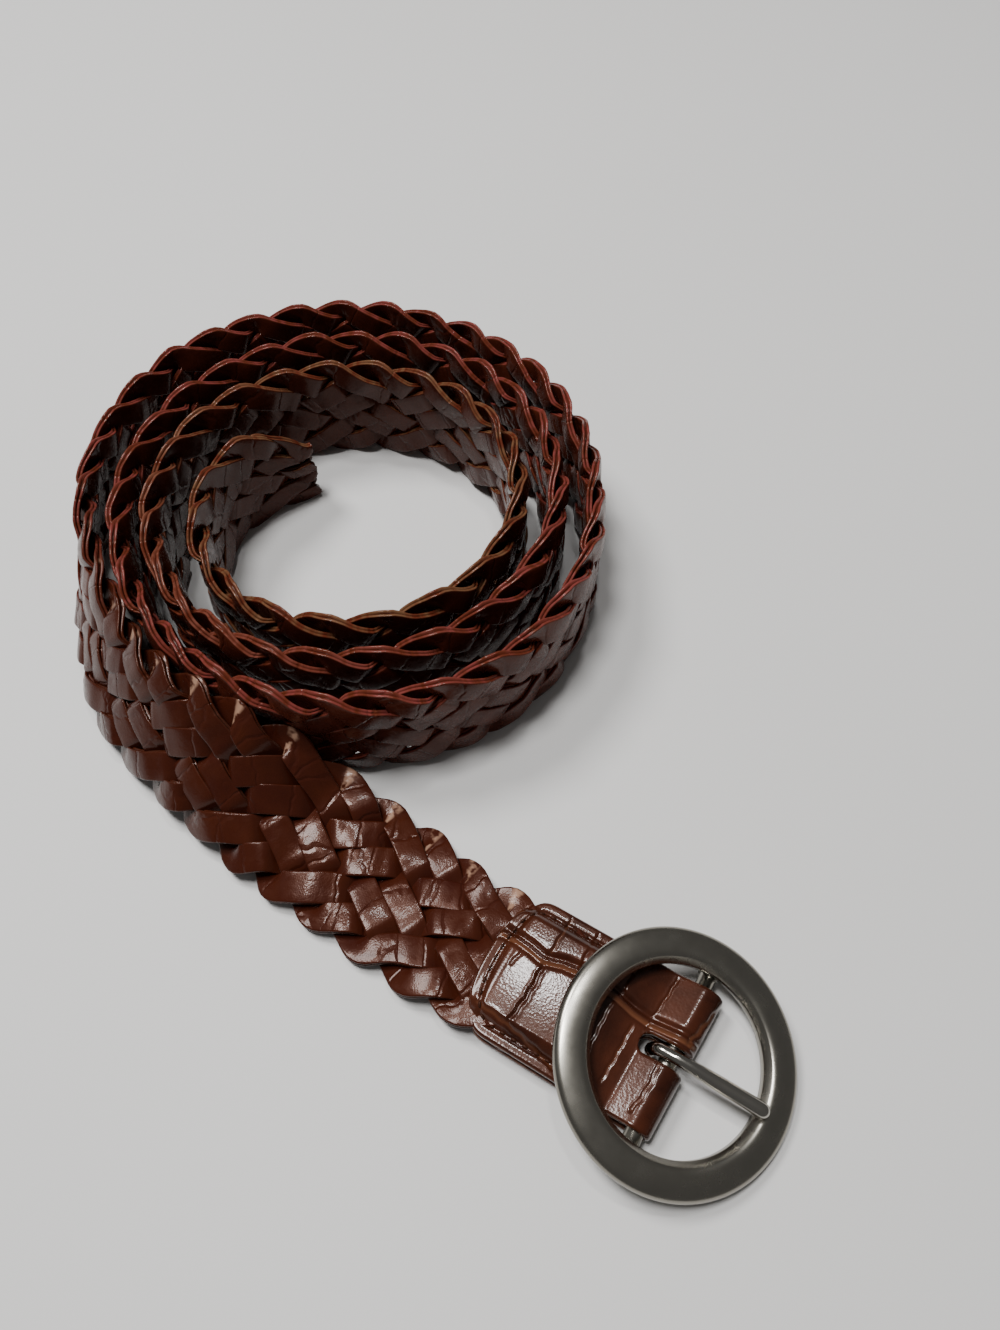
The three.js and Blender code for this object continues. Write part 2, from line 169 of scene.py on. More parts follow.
@dataclass
class Bar:
    """The buckle's bar, from which the belt's places are measured, in metres."""

    place: np.ndarray
    radius: float = 2.0 * MM
    clearance: float = 0.25 * MM
    leaf: float = 2.0 * MM

    @property
    def fold_radius(self) -> float:
        """Returns the outer radius of the tab's fold round the bar."""
        return self.radius + self.clearance + self.leaf


class BraidRoute:
    """The way of the braid's middle along the coil and the flat run."""

    COIL_RADIUS = 68 * MM
    COIL_BEHIND_BAR = 137.7 * MM
    COIL_BESIDE_BAR = 79.8 * MM
    WIDTH = 33 * MM
    THICKNESS = 4.2 * MM
    TAB_LENGTH = 48.5 * MM
    TAB_POCKET = 25 * MM
    END_CLEARANCE = 1.5 * MM
    ENTRY_RISE = 18 * MM
    LIFT = 2.3 * MM
    STEP = 1 * MM
    TABLE_STEP = 0.5 * MM
    OVERRUN = 6 * MM
    SLACK_START = 20 * MM
    SLACK_RISE = 30 * MM
    SMOOTHING = 4

    def __init__(self, bar: Bar) -> None:
        """Works out the route once.

        Args:
            bar: The buckle's bar.
        """
        self.bar = bar
        places, leans = self._coil()
        run_places, run_leans = self._run(places, leans)
        places = np.vstack([places, run_places])
        leans = np.concatenate([leans, run_leans])
        steps = np.linalg.norm(np.diff(places, axis=0), axis=1)
        lengths = np.concatenate([[0], np.cumsum(steps)])
        self.total = float(lengths[-1])
        self._fill_table(places, leans, lengths)

    def _coil(self) -> tuple[np.ndarray, np.ndarray]:
        """Returns the coil's points, a short step apart, and how far the band leans at each."""
        turns = np.array([row.turn for row in COIL_ROWS])
        radii = np.array([row.reach for row in COIL_ROWS]) * self.COIL_RADIUS
        span = turns[-1] - turns[0]
        count = math.ceil(span * 2 * math.pi * self.COIL_RADIUS / self.STEP)
        turn = turns[0] + span * np.arange(count + 1) / count
        radius = np.array([self._cubic(turns, radii, value) for value in turn])
        angle = turn * 2 * math.pi
        x = radius * np.cos(angle) - self.COIL_BEHIND_BAR
        y = radius * np.sin(angle) + self.COIL_BESIDE_BAR
        leans = np.interp(turn, turns, [row.lean for row in COIL_ROWS])
        return np.column_stack([x, y]), leans

    @staticmethod
    def _cubic(keys: np.ndarray, values: np.ndarray, place: float) -> float:
        """Reads a smooth curve through keyed values at one place, with straight ends."""
        upper = int(np.clip(np.searchsorted(keys, place, side="right"), 1, len(keys) - 1))
        start, end = keys[upper - 1], keys[upper]
        before = upper - 2 if upper >= 2 else upper
        after = upper + 1 if upper + 1 < len(keys) else upper - 1
        key_before = keys[before] if upper >= 2 else 2 * start - end
        key_after = keys[after] if upper + 1 < len(keys) else 2 * end - start
        half = (end - start) / 2
        pull_before = half / (start - key_before)
        pull_after = half / (key_after - end)
        p = (place - start) / (end - start)
        share_before = -pull_before * p**3 + 2 * pull_before * p**2 - pull_before * p
        share_start = (1 + pull_before) * p**3 + (-1.5 - 2 * pull_before) * p**2
        share_start += (pull_before - 0.5) * p + 1
        share_end = (-1 - pull_after) * p**3 + (1.5 + pull_after) * p**2 + 0.5 * p
        share_after = pull_after * p**3 - pull_after * p**2
        return float(
            share_before * values[before] + share_start * values[upper - 1]
            + share_end * values[upper] + share_after * values[after]
        )

    def _run(self, coil: np.ndarray, coil_leans: np.ndarray) -> tuple[np.ndarray, np.ndarray]:
        """Returns the points and leans from the coil to the end of the tab's pocket."""
        before, leaving = coil[-4], coil[-1]
        reach = self.bar.fold_radius - self.TAB_LENGTH + self.TAB_POCKET - self.END_CLEARANCE
        along = np.array([reach, 0.0]) - leaving
        aside = np.array([-along[1], along[0]])
        knots = [before, leaving]
        knots += [leaving + along * row.along + aside * row.aside for row in RUN_ROWS]
        line = rounded(np.array(knots))
        steps = np.linalg.norm(np.diff(line, axis=0), axis=1)
        lengths = np.concatenate([[0], np.cumsum(steps)])
        span = float(np.linalg.norm(along))
        count = math.ceil(span / self.STEP)
        wanted = lengths[-1] * np.arange(count + 1) / count
        even = np.column_stack([np.interp(wanted, lengths, line[:, i]) for i in range(2)])
        clear = np.linalg.norm(even - leaving, axis=1) > self.STEP
        clear &= np.linalg.norm(even - before, axis=1) > 4 * self.STEP
        even = even[clear]
        keys = [-1.0, 0.0] + [row.along for row in RUN_ROWS]
        leans = [coil_leans[-4], coil_leans[-1]] + [row.lean for row in RUN_ROWS]
        return even, np.interp((even - leaving) @ along / span**2, keys, leans)

    def _fill_table(self, places: np.ndarray, leans: np.ndarray, lengths: np.ndarray) -> None:
        """Keeps the frame of the band at even distances, for fast reading."""
        count = math.ceil(self.total / self.TABLE_STEP)
        self.distances = self.total * np.arange(count + 1) / count
        reading = 2 * self.STEP

        def read(wanted: np.ndarray) -> np.ndarray:
            return np.column_stack([np.interp(wanted, lengths, places[:, i]) for i in range(2)])

        middle = read(self.distances)
        heading = read(self.distances + reading) - read(self.distances - reading)
        kernel = np.ones(2 * self.SMOOTHING + 1) / (2 * self.SMOOTHING + 1)
        padded = np.pad(heading, ((self.SMOOTHING, self.SMOOTHING), (0, 0)), mode="edge")
        heading = np.column_stack([np.convolve(padded[:, i], kernel, "valid") for i in range(2)])
        heading /= np.linalg.norm(heading, axis=1)[:, None]
        lean = np.radians(np.interp(self.distances, lengths, leans))
        rise = smooth((self.distances - self.SLACK_START) / self.SLACK_RISE)
        self.slack = np.cos(lean) ** 0.5 * rise
        left = np.column_stack([-heading[:, 1], heading[:, 0], np.zeros(len(lean))])
        up = np.array([0.0, 0.0, 1.0])
        cos, sin = np.cos(lean)[:, None], np.sin(lean)[:, None]
        across = up * cos + left * sin
        outward = up * sin - left * cos
        tab_edge = self.total - self.TAB_POCKET - self.THICKNESS
        lift = self.LIFT * smooth((self.distances - tab_edge + self.ENTRY_RISE) / self.ENTRY_RISE)
        height = self.WIDTH / 2 * cos[:, 0] + self.THICKNESS / 2 * sin[:, 0] + lift
        middle = np.column_stack([middle + self.bar.place[:2], height])
        ahead = np.column_stack([heading, np.zeros(len(lean))])
        self.table = np.hstack([middle, across, outward, ahead])

    def line(self) -> bpy.types.Object:
        """Draws the route as an object of edges, which carries the band's frame at each point.

        Returns:
            The line, a little longer than the braid at both ends, with the vector attributes
            across and outward.
        """
        first, last = self.table[0].copy(), self.table[-1].copy()
        first[:3] -= first[9:12] * self.OVERRUN
        last[:3] += last[9:12] * self.OVERRUN
        rows = np.vstack([first, self.table, last])
        mesh = bpy.data.meshes.new("braid_route")
        mesh.from_pydata(rows[:, :3].tolist(), [(i, i + 1) for i in range(len(rows) - 1)], [])
        for name, columns in (("across", rows[:, 3:6]), ("outward", rows[:, 6:9])):
            attribute = mesh.attributes.new(name, "FLOAT_VECTOR", "POINT")
            attribute.data.foreach_set("vector", columns.astype(np.float32).ravel())
        line = bpy.data.objects.new("braid_route", mesh)
        bpy.context.scene.collection.objects.link(line)
        return line

    def length_at(self, distance: np.ndarray) -> np.ndarray:
        """Returns how far along the drawn line distances along the braid are."""
        steps = np.linalg.norm(np.diff(self.table[:, :3], axis=0), axis=1)
        lengths = self.OVERRUN + np.concatenate([[0], np.cumsum(steps)])
        keys = np.concatenate([[-self.OVERRUN], self.distances, [self.total + self.OVERRUN]])
        lengths = np.concatenate([[0.0], lengths, [lengths[-1] + self.OVERRUN]])
        return np.interp(distance, keys, lengths)


@dataclass(frozen=True)
class SectionPoint:
    """A point of a strip's cross-section, as shares of half its width and half its thickness."""

    wide: float
    thick: float
    edge: float = 0.0


STRIP_TOP = (
    SectionPoint(-0.965, 0.95, 0.3), SectionPoint(-0.88, 1.0), SectionPoint(-0.46, 1.0),
    SectionPoint(0.0, 1.0), SectionPoint(0.46, 1.0), SectionPoint(0.88, 1.0),
    SectionPoint(0.965, 0.95, 0.3),
)
STRIP_SIDE = (
    SectionPoint(1.0, 0.8, 1.0), SectionPoint(0.99, 0.2, 1.0), SectionPoint(0.7, 0.12, 0.2),
    SectionPoint(0.7, -0.12, 0.2), SectionPoint(0.99, -0.2, 1.0), SectionPoint(1.0, -0.8, 1.0),
)


def strip_section() -> tuple[SectionPoint, ...]:
    """Returns the whole section of a strip of two plies, once round."""
    below = tuple(SectionPoint(p.wide, -p.thick, p.edge) for p in reversed(STRIP_TOP))
    far = tuple(SectionPoint(-p.wide, p.thick, p.edge) for p in reversed(STRIP_SIDE))
    return STRIP_TOP + STRIP_SIDE + below + far


class MeshKit:
    """Makes mesh objects from arrays."""

    @staticmethod
    def build(
        name: str,
        points: np.ndarray,
        faces: list,
        material: bpy.types.Material,
        uv: np.ndarray | None = None,
        values: dict[str, np.ndarray] | None = None,
    ) -> bpy.types.Object:
        """Makes one smooth mesh object at the origin.

        Args:
            name: The object's name.
            points: One row of x, y and z for each point.
            faces: The corners of each face, as numbers of points.
            material: The finish of all the faces.
            uv: The pattern's place at each point, or None.
            values: Named numbers for each point, or None.

        Returns:
            The new object, linked to the scene.
        """
        mesh = bpy.data.meshes.new(name)
        mesh.from_pydata(points.tolist(), [], faces)
        mesh.materials.append(material)
        if uv is not None:
            corners = np.empty(len(mesh.loops), dtype=np.int32)
            mesh.loops.foreach_get("vertex_index", corners)
            layer = mesh.uv_layers.new(name="grain")
            layer.data.foreach_set("uv", uv[corners].astype(np.float32).ravel())
        for key, numbers in (values or {}).items():
            vector = numbers.ndim > 1
            attribute = mesh.attributes.new(key, "FLOAT_VECTOR" if vector else "FLOAT", "POINT")
            target = "vector" if vector else "value"
            attribute.data.foreach_set(target, numbers.astype(np.float32).ravel())
        mesh.validate()
        mesh.update()
        mesh.shade_smooth()
        piece = bpy.data.objects.new(name, mesh)
        bpy.context.scene.collection.objects.link(piece)
        return piece

    @staticmethod
    def tube_faces(stations: int, ring: int, closed: bool = False) -> list:
        """Returns the faces between neighbouring rings of points, with end caps unless closed."""
        faces = []
        spans = stations if closed else stations - 1
        for station in range(spans):
            start, end = station * ring, ((station + 1) % stations) * ring
            for i in range(ring):
                j = (i + 1) % ring
                faces.append((start + i, end + i, end + j, start + j))
        if not closed:
            faces.append(tuple(range(ring)))
            faces.append(tuple(reversed(range((stations - 1) * ring, stations * ring))))
        return faces


def bake(piece: bpy.types.Object) -> None:
    """Replaces a piece's mesh by what its modifiers make of it, and removes them."""
    graph = bpy.context.evaluated_depsgraph_get()
    mesh = bpy.data.meshes.new_from_object(piece.evaluated_get(graph))
    piece.modifiers.clear()
    piece.data = mesh


class Sheet:
    """A tree of nodes, with short calls for adding and joining them."""

    PREFIX = "ShaderNode"

    def __init__(self, tree: bpy.types.NodeTree) -> None:
        """Takes up a tree.

        Args:
            tree: The tree that the nodes go into.
        """
        self.tree = tree

    def add(self, kind: str, options: dict | None = None, **inputs: object) -> bpy.types.Node:
        """Adds a node.

        Args:
            kind: The node's type, whole or without the tree's own prefix.
            options: Properties of the node.
            inputs: Values or output sockets for its inputs, underscores for spaces.

        Returns:
            The node.
        """
        node = self.tree.nodes.new(kind if "Node" in kind else self.PREFIX + kind)
        for key, value in (options or {}).items():
            setattr(node, key, value)
        for key, value in inputs.items():
            self.put(node, key.replace("_", " "), value)
        return node

    def put(self, node: bpy.types.Node, key: str | int, value: object) -> None:
        """Sets or joins one input of a node, by its name or its place."""
        socket = node.inputs[key]
        if isinstance(value, bpy.types.NodeSocket):
            self.tree.links.new(value, socket)
        else:
            socket.default_value = value

    def math(self, operation: str, *values: object, kind: str = "Math") -> bpy.types.NodeSocket:
        """Adds a node that reckons with the values in order, and returns its result."""
        node = self.add(f"ShaderNode{kind}", {"operation": operation})
        for place, value in enumerate(values):
            self.put(node, place, value)
        return node.outputs[0]

    def vector(self, operation: str, *values: object) -> bpy.types.NodeSocket:
        """Adds a node that reckons with vectors, and returns its result."""
        return self.math(operation, *values, kind="VectorMath")


class GeometrySheet(Sheet):
    """A tree of geometry nodes, which ends in real faces of one material."""

    PREFIX = "GeometryNode"

    def __init__(self, name: str, inputs: dict[str, str]) -> None:
        """Starts a tree.

        Args:
            name: The tree's name.
            inputs: The kind of each named input, without the leading NodeSocket.
        """
        super().__init__(bpy.data.node_groups.new(name, "GeometryNodeTree"))
        for key, kind in {"Geometry": "Geometry", **inputs}.items():
            self.socket(key, "INPUT", kind)
        self.socket("Geometry", "OUTPUT", "Geometry")
        self.given = self.add("NodeGroupInput").outputs
        self.result = self.add("NodeGroupOutput")

    def socket(self, name: str, way: str, kind: str) -> None:
        """Gives the tree one named input or output."""
        self.tree.interface.new_socket(name, in_out=way, socket_type=f"NodeSocket{kind}")

    def attribute(self, name: str, kind: str) -> bpy.types.NodeSocket:
        """Returns the value of a named attribute."""
        return self.add("InputNamedAttribute", {"data_type": kind}, Name=name).outputs[0]

    def finish(self, geometry: bpy.types.NodeSocket, material: bpy.types.Material) -> None:
        """Ends the tree with real geometry in one material."""
        real = self.add("RealizeInstances", Geometry=geometry).outputs[0]
        dressed = self.add("SetMaterial", Geometry=real, Material=material).outputs[0]
        self.put(self.result, 0, dressed)

    def run(self, piece: bpy.types.Object, **sizes: object) -> None:
        """Runs the tree on a piece and keeps the result as its plain mesh.

        Args:
            piece: The object.
            sizes: Values for the named inputs, underscores for spaces.
        """
        modifier = piece.modifiers.new(self.tree.name, "NODES")
        modifier.node_group = self.tree
        for item in self.tree.interface.items_tree:
            key = item.name.replace(" ", "_")
            if item.in_out == "INPUT" and key in sizes:
                modifier[item.identifier] = sizes[key]
        bake(piece)


class StripLayer:
    """Gives flat strips their width and thickness and lays them on the route."""

    def __init__(self, route: BraidRoute, leather: bpy.types.Material) -> None:
        """Draws the route and builds the tree of geometry nodes.

        Args:
            route: The braid's route.
            leather: The strips' finish.
        """
        self.route = route
        self.line = route.line()
        sizes = {key: "Float" for key in ("Half Width", "Half Thickness", "Cut")}
        self.sheet = sheet = GeometrySheet("strip on its route", {"Route": "Object", **sizes})
        given = sheet.given
        flat = sheet.add("InputPosition").outputs[0]
        way = sheet.attribute("way", "FLOAT_VECTOR")
        wide = sheet.vector("MULTIPLY_ADD", way, given["Half Width"], flat)
        parts = sheet.add("ShaderNodeSeparateXYZ", Vector=wide).outputs
        share = sheet.attribute("thick", "FLOAT")
        height = sheet.math("MULTIPLY_ADD", share, given["Half Thickness"], parts["Z"])
        along = sheet.math("MAXIMUM", parts["X"], given["Cut"])
        drawn = sheet.add("ObjectInfo", Object=given["Route"]).outputs["Geometry"]
        curve = sheet.add("MeshToCurve", Mesh=drawn).outputs[0]
        across, outward = (
            sheet.add(
                "SampleCurve", {"data_type": "FLOAT_VECTOR", "mode": "LENGTH"},
                Curves=curve, Value=sheet.attribute(name, "FLOAT_VECTOR"), Length=along,
            ).outputs
            for name in ("across", "outward")
        )
        place = across["Position"]
        place = sheet.vector("MULTIPLY_ADD", across["Value"], parts["Y"], place)
        place = sheet.vector("MULTIPLY_ADD", outward["Value"], height, place)
        laid = sheet.add("SetPosition", Geometry=given["Geometry"], Position=place)
        sheet.finish(laid.outputs[0], leather)

    def lay(
        self, strip: bpy.types.Object, half_width: float, half_thick: float, cut: float
    ) -> None:
        """Lays one strip on the route.

        Args:
            strip: The strip, flat along X, with its section still in its attributes.
            half_width: Half of the strip's width.
            half_thick: Half of its thickness.
            cut: Where along the braid its free end is cut off.
        """
        sizes = {"Half_Width": half_width, "Half_Thickness": half_thick}
        sizes["Cut"] = float(self.route.length_at(np.array(cut)))
        self.sheet.run(strip, Route=self.line, **sizes)
        for name in ("way", "thick"):
            strip.data.attributes.remove(strip.data.attributes[name])

    def clear(self) -> None:
        """Removes the drawn route, once all the strips lie on it."""
        bpy.data.objects.remove(self.line)


@dataclass
class Braid:
    """The flat braid of eight strips, each two plies thick, woven two over two.

    A strip crosses the braid from the upper edge to the lower one as a row and comes back as a
    column. Distances along the braid are counted in steps, one for each strip that turns back at
    each edge: strip n turns at the upper edge at step n, and at the lower edge four steps on.
    """

    route: BraidRoute
    strips: int = 8
    coil_pitch: float = 13.4 * MM
    run_pitch: float = 12.5 * MM
    run_length: float = 145 * MM
    block_from_end: float = 61.5 * MM
    run_spread: float = 1.085
    run_shift: float = 3.0 * MM
    reach: float = 14.0 * MM
    turn_rounding: float = 2.0 * MM
    strip_half_width: float = 3.3 * MM
    strip_half_thickness: float = 0.92 * MM
    layer_height: float = 1.1 * MM
    float_bow: float = 0.22 * MM
    station_step: float = 1.0 * MM
    cut_place: float = -2.5 * MM
    free_end_width: float = 22 * MM
    run_relief: float = 0.35
    opening_length: float = 40 * MM
    closing_length: float = 26 * MM
    block_step: float = 90.0
    crossing_share: float = 0.72
    side_wander: float = 0.4 * MM
    height_wander: float = 0.1
    width_wander: float = 0.06
    roll_wander: float = math.radians(7)
    turn_length: float = 2.6 * MM
    crown: float = 0.1 * MM
    gape: float = 0.22 * MM
    curl: float = 0.5 * MM
    free_end_taper: float = 12 * MM
    sewn_end_width: float = 30 * MM
    sewn_end_taper: float = 24 * MM
    seed: int = 11

    # Height of a strip at one edge, over the seven others that it crosses and at the other edge,
    # for the two ways of its turn, and how far it stands off where the braid is loose
    PAIR_FIRST = (0, 1, 1, -1, -1, 1, 1, -1, 0)
    PAIR_LATER = (0, 1, -1, -1, 1, 1, -1, -1, 0)
    LOOSE = (0, 1.75, 1.15, 1.1, 1.1, 1.1, 1.15, 1.75, 0)

    def steps(self, distance: np.ndarray) -> np.ndarray:
        """Returns distances along the braid counted in steps, closer together in the flat run."""
        total = self.route.total
        knots = [0.0, total - self.run_length, total - self.block_from_end, total]
        block = self.block_step
        run_start = block - (self.run_length - self.block_from_end) / self.run_pitch
        first = run_start - (total - self.run_length) / self.coil_pitch
        last = block + self.block_from_end / self.run_pitch
        return np.interp(distance, knots, [first, run_start, block, last])

    def pitch(self, distance: np.ndarray) -> np.ndarray:
        """Returns the length of a step at distances along the braid."""
        in_run = distance > self.route.total - self.run_length
        return np.where(in_run, self.run_pitch, self.coil_pitch)

    def zigzag(self, distance: np.ndarray, strip: int) -> tuple[np.ndarray, np.ndarray, np.ndarray]:
        """Finds where a strip's middle runs in the flat braid.

        Args:
            distance: Distances along the braid.
            strip: The strip's number.

        Returns:
            How far across the strip is, the slope of its way there, and how far along the
            distance is from the nearest turn, with the sign of the side that it turns at.
        """
        half = self.strips / 2
        phase = (self.steps(distance) - strip) / half
        leg = np.floor(phase)
        share = phase - leg
        sign = np.where(leg % 2 == 0, 1.0, -1.0)
        length = half * self.pitch(distance)
        slope = 2 * self.reach / length
        away = np.minimum(share, 1 - share) * length
        near = np.where(share < 0.5, sign, -sign)
        w = self.turn_rounding
        drop = np.where(away < w, slope * (w * w + away * away) / (2 * w), slope * away)
        lean = np.where(away < w, slope * away / w, slope)
        aside = near * (self.reach - drop)
        direction = np.where(share < 0.5, -near, near)
        return aside, direction * lean, near * away

    def layer(self, distance: np.ndarray, strip: int, rng: np.random.Generator) -> np.ndarray:
        """Returns the strip's height out of the braid's middle layer along the way."""
        crossings = (self.steps(distance) - strip) * 2
        leg = np.floor(crossings / self.strips).astype(int)
        place = crossings - leg * self.strips
        index = np.minimum(place.astype(int), self.strips - 1)
        share = place - index
        pair_first = ((leg + strip) % 2 == 0)[:, None]
        levels = np.where(pair_first, np.array(self.PAIR_FIRST), np.array(self.PAIR_LATER))
        slack = np.interp(distance, self.route.distances, self.route.slack)[:, None]
        levels = levels * (1 + (np.array(self.LOOSE) - 1) * slack)
        rows = np.arange(len(distance))
        start, end = levels[rows, index], levels[rows, index + 1]
        quick = smooth((share - 0.5) / self.crossing_share + 0.5)
        height = start + (end - start) * quick
        turning = (index == 0) | (index == self.strips - 1)
        leaving = end * np.sin(math.pi / 2 * share)
        roll = np.where(index == 0, leaving, start * np.cos(math.pi / 2 * share))
        height = np.where(turning, roll, height)
        bow = np.where((start * end > 0) & ~turning, np.sign(start) * np.sin(math.pi * share), 0.0)
        wander = 1 + self.height_wander * ramp_noise(rng, crossings + NOISE_START)
        plain = self.layer_height * height * wander + self.float_bow * bow
        return plain + self.run_relief * self.looseness(distance) * (plain + self.layer_height)

    def looseness(self, distance: np.ndarray) -> np.ndarray:
        """Returns how far the weave has opened, from 0 in the coil to 1 in the flat run."""
        from_end = self.route.total - distance
        opening = smooth((self.run_length - from_end) / self.opening_length)
        return opening * smooth((from_end - self.closing_length) / self.closing_length)

    def spread(self, distance: np.ndarray) -> tuple[np.ndarray, np.ndarray]:
        """Returns the braid's width as a share of its full width, and its shift to one side."""
        free = 1 - smooth(distance / self.free_end_taper)
        from_end = self.route.total - distance
        sewn = smooth(1 - from_end / self.sewn_end_taper)
        full = self.route.WIDTH
        loose = self.looseness(distance)
        width = 1 - free * (1 - self.free_end_width / full)
        width -= sewn * (1 - self.sewn_end_width / full)
        lower = free * (full - self.free_end_width) / 2
        return width * (1 + (self.run_spread - 1) * loose), self.run_shift * loose - lower

    def strip(
        self, number: int, layer: StripLayer, leather: bpy.types.Material
    ) -> bpy.types.Object:
        """Weaves one strip.

        Args:
            number: Which strip, from 0.
            layer: What lays the strip on its route.
            leather: Its finish.

        Returns:
            The strip's mesh object.
        """
        rng = np.random.default_rng(self.seed + number)
        slope = 2 * self.reach / (self.strips * self.coil_pitch / 2)
        step = self.station_step / math.sqrt(1 + slope * slope)
        stations = np.arange(self.cut_place, self.route.total, step)
        aside, lean, from_turn = self.zigzag(stations, number)
        height = self.layer(stations, number, rng)
        knots = self.steps(stations) * 2 + NOISE_START
        aside = aside + self.side_wander * ramp_noise(rng, knots)
        roll = self.roll_wander * ramp_noise(rng, knots + 0.5)
        wider = 1 + self.width_wander * ramp_noise(rng, knots * 0.5)
        length = np.hypot(1.0, lean)
        turning = bell(from_turn, self.turn_length)
        outer = np.sign(from_turn)
        section = strip_section()
        wide = np.array([p.wide for p in section])
        thick = np.array([p.thick for p in section])
        share = wider[:, None] * wide[None, :]
        offset = self.strip_half_width * share
        crown = -self.crown * wide[None, :] ** 2 * thick[None, :]
        gape = self.gape * turning[:, None] * np.sign(thick)[None, :]
        outside = outer[:, None] * wide[None, :]
        cupping = 0.45 * np.clip(-outside, 0, 1) - 0.25 * np.clip(outside, 0, 1) ** 2
        side = np.where(height == 0, 1, np.sign(height))[:, None]
        lifted = height[:, None] + crown + gape + np.tan(roll)[:, None] * offset
        lifted = lifted + self.curl * turning[:, None] * cupping * side
        width, shift = self.spread(stations)
        centre = aside * width + shift
        ring = len(section)
        along = self.route.length_at(stations)
        points = np.column_stack([np.repeat(along, ring), np.repeat(centre, ring), lifted.ravel()])
        back, out = share * (-lean / length)[:, None], share * (width / length)[:, None]
        way = np.column_stack([back.ravel(), out.ravel(), np.zeros(share.size)])
        run = np.cumsum(length * step)[:, None] * np.ones_like(offset)
        uv = np.column_stack([run.ravel(), (offset + STRIP_UV_GAP * number).ravel()]) * UV_SCALE
        values = {
            "edge": np.tile([p.edge for p in section], len(stations)),
            "reach": np.repeat(stations / self.route.total, ring),
            # Where a strip turns at the upper edge, which places the painted glint at the folds
            "turning": np.repeat(turning * (outer > 0), ring),
            "way": way,
            "thick": np.tile(thick, len(stations)),
        }
        faces = MeshKit.tube_faces(len(stations), ring)
        strip = MeshKit.build(f"braid_strip_{number + 1}", points, faces, leather, uv, values)
        layer.lay(strip, self.strip_half_width, self.strip_half_thickness, self.cut_place)
        return strip

    def weave(self, leather: bpy.types.Material) -> list[bpy.types.Object]:
        """Weaves all the strips and returns them."""
        layer = StripLayer(self.route, leather)
        strips = [self.strip(number, layer, leather) for number in range(self.strips)]
        layer.clear()
        return strips


@dataclass(frozen=True)
class Crease:
    """A crease pressed across the tab: where it starts and ends, how it bows, how deep it is."""

    start: tuple
    end: tuple
    bow: float
    depth: float
    width: float
    worn: float = 0.0

    def away(self, x: np.ndarray, y: np.ndarray) -> tuple[np.ndarray, np.ndarray]:
        """Returns the distance from the crease, and 1 beside it fading to 0 beyond its ends."""
        ax, ay = (value * MM for value in self.start)
        bx, by = (value * MM for value in self.end)
        length = math.hypot(bx - ax, by - ay)
        ux, uy = (bx - ax) / length, (by - ay) / length
        along = ((x - ax) * ux + (y - ay) * uy) / length
        off = (x - ax) * -uy + (y - ay) * ux
        off = off - self.bow * MM * np.sin(math.pi * np.clip(along, 0, 1))
        off = off - 0.12 * MM * np.sin(along * length / MM * 1.7)
        fade = smooth((along + 0.04) / 0.08) * smooth((1.04 - along) / 0.08)
        return np.abs(off), fade


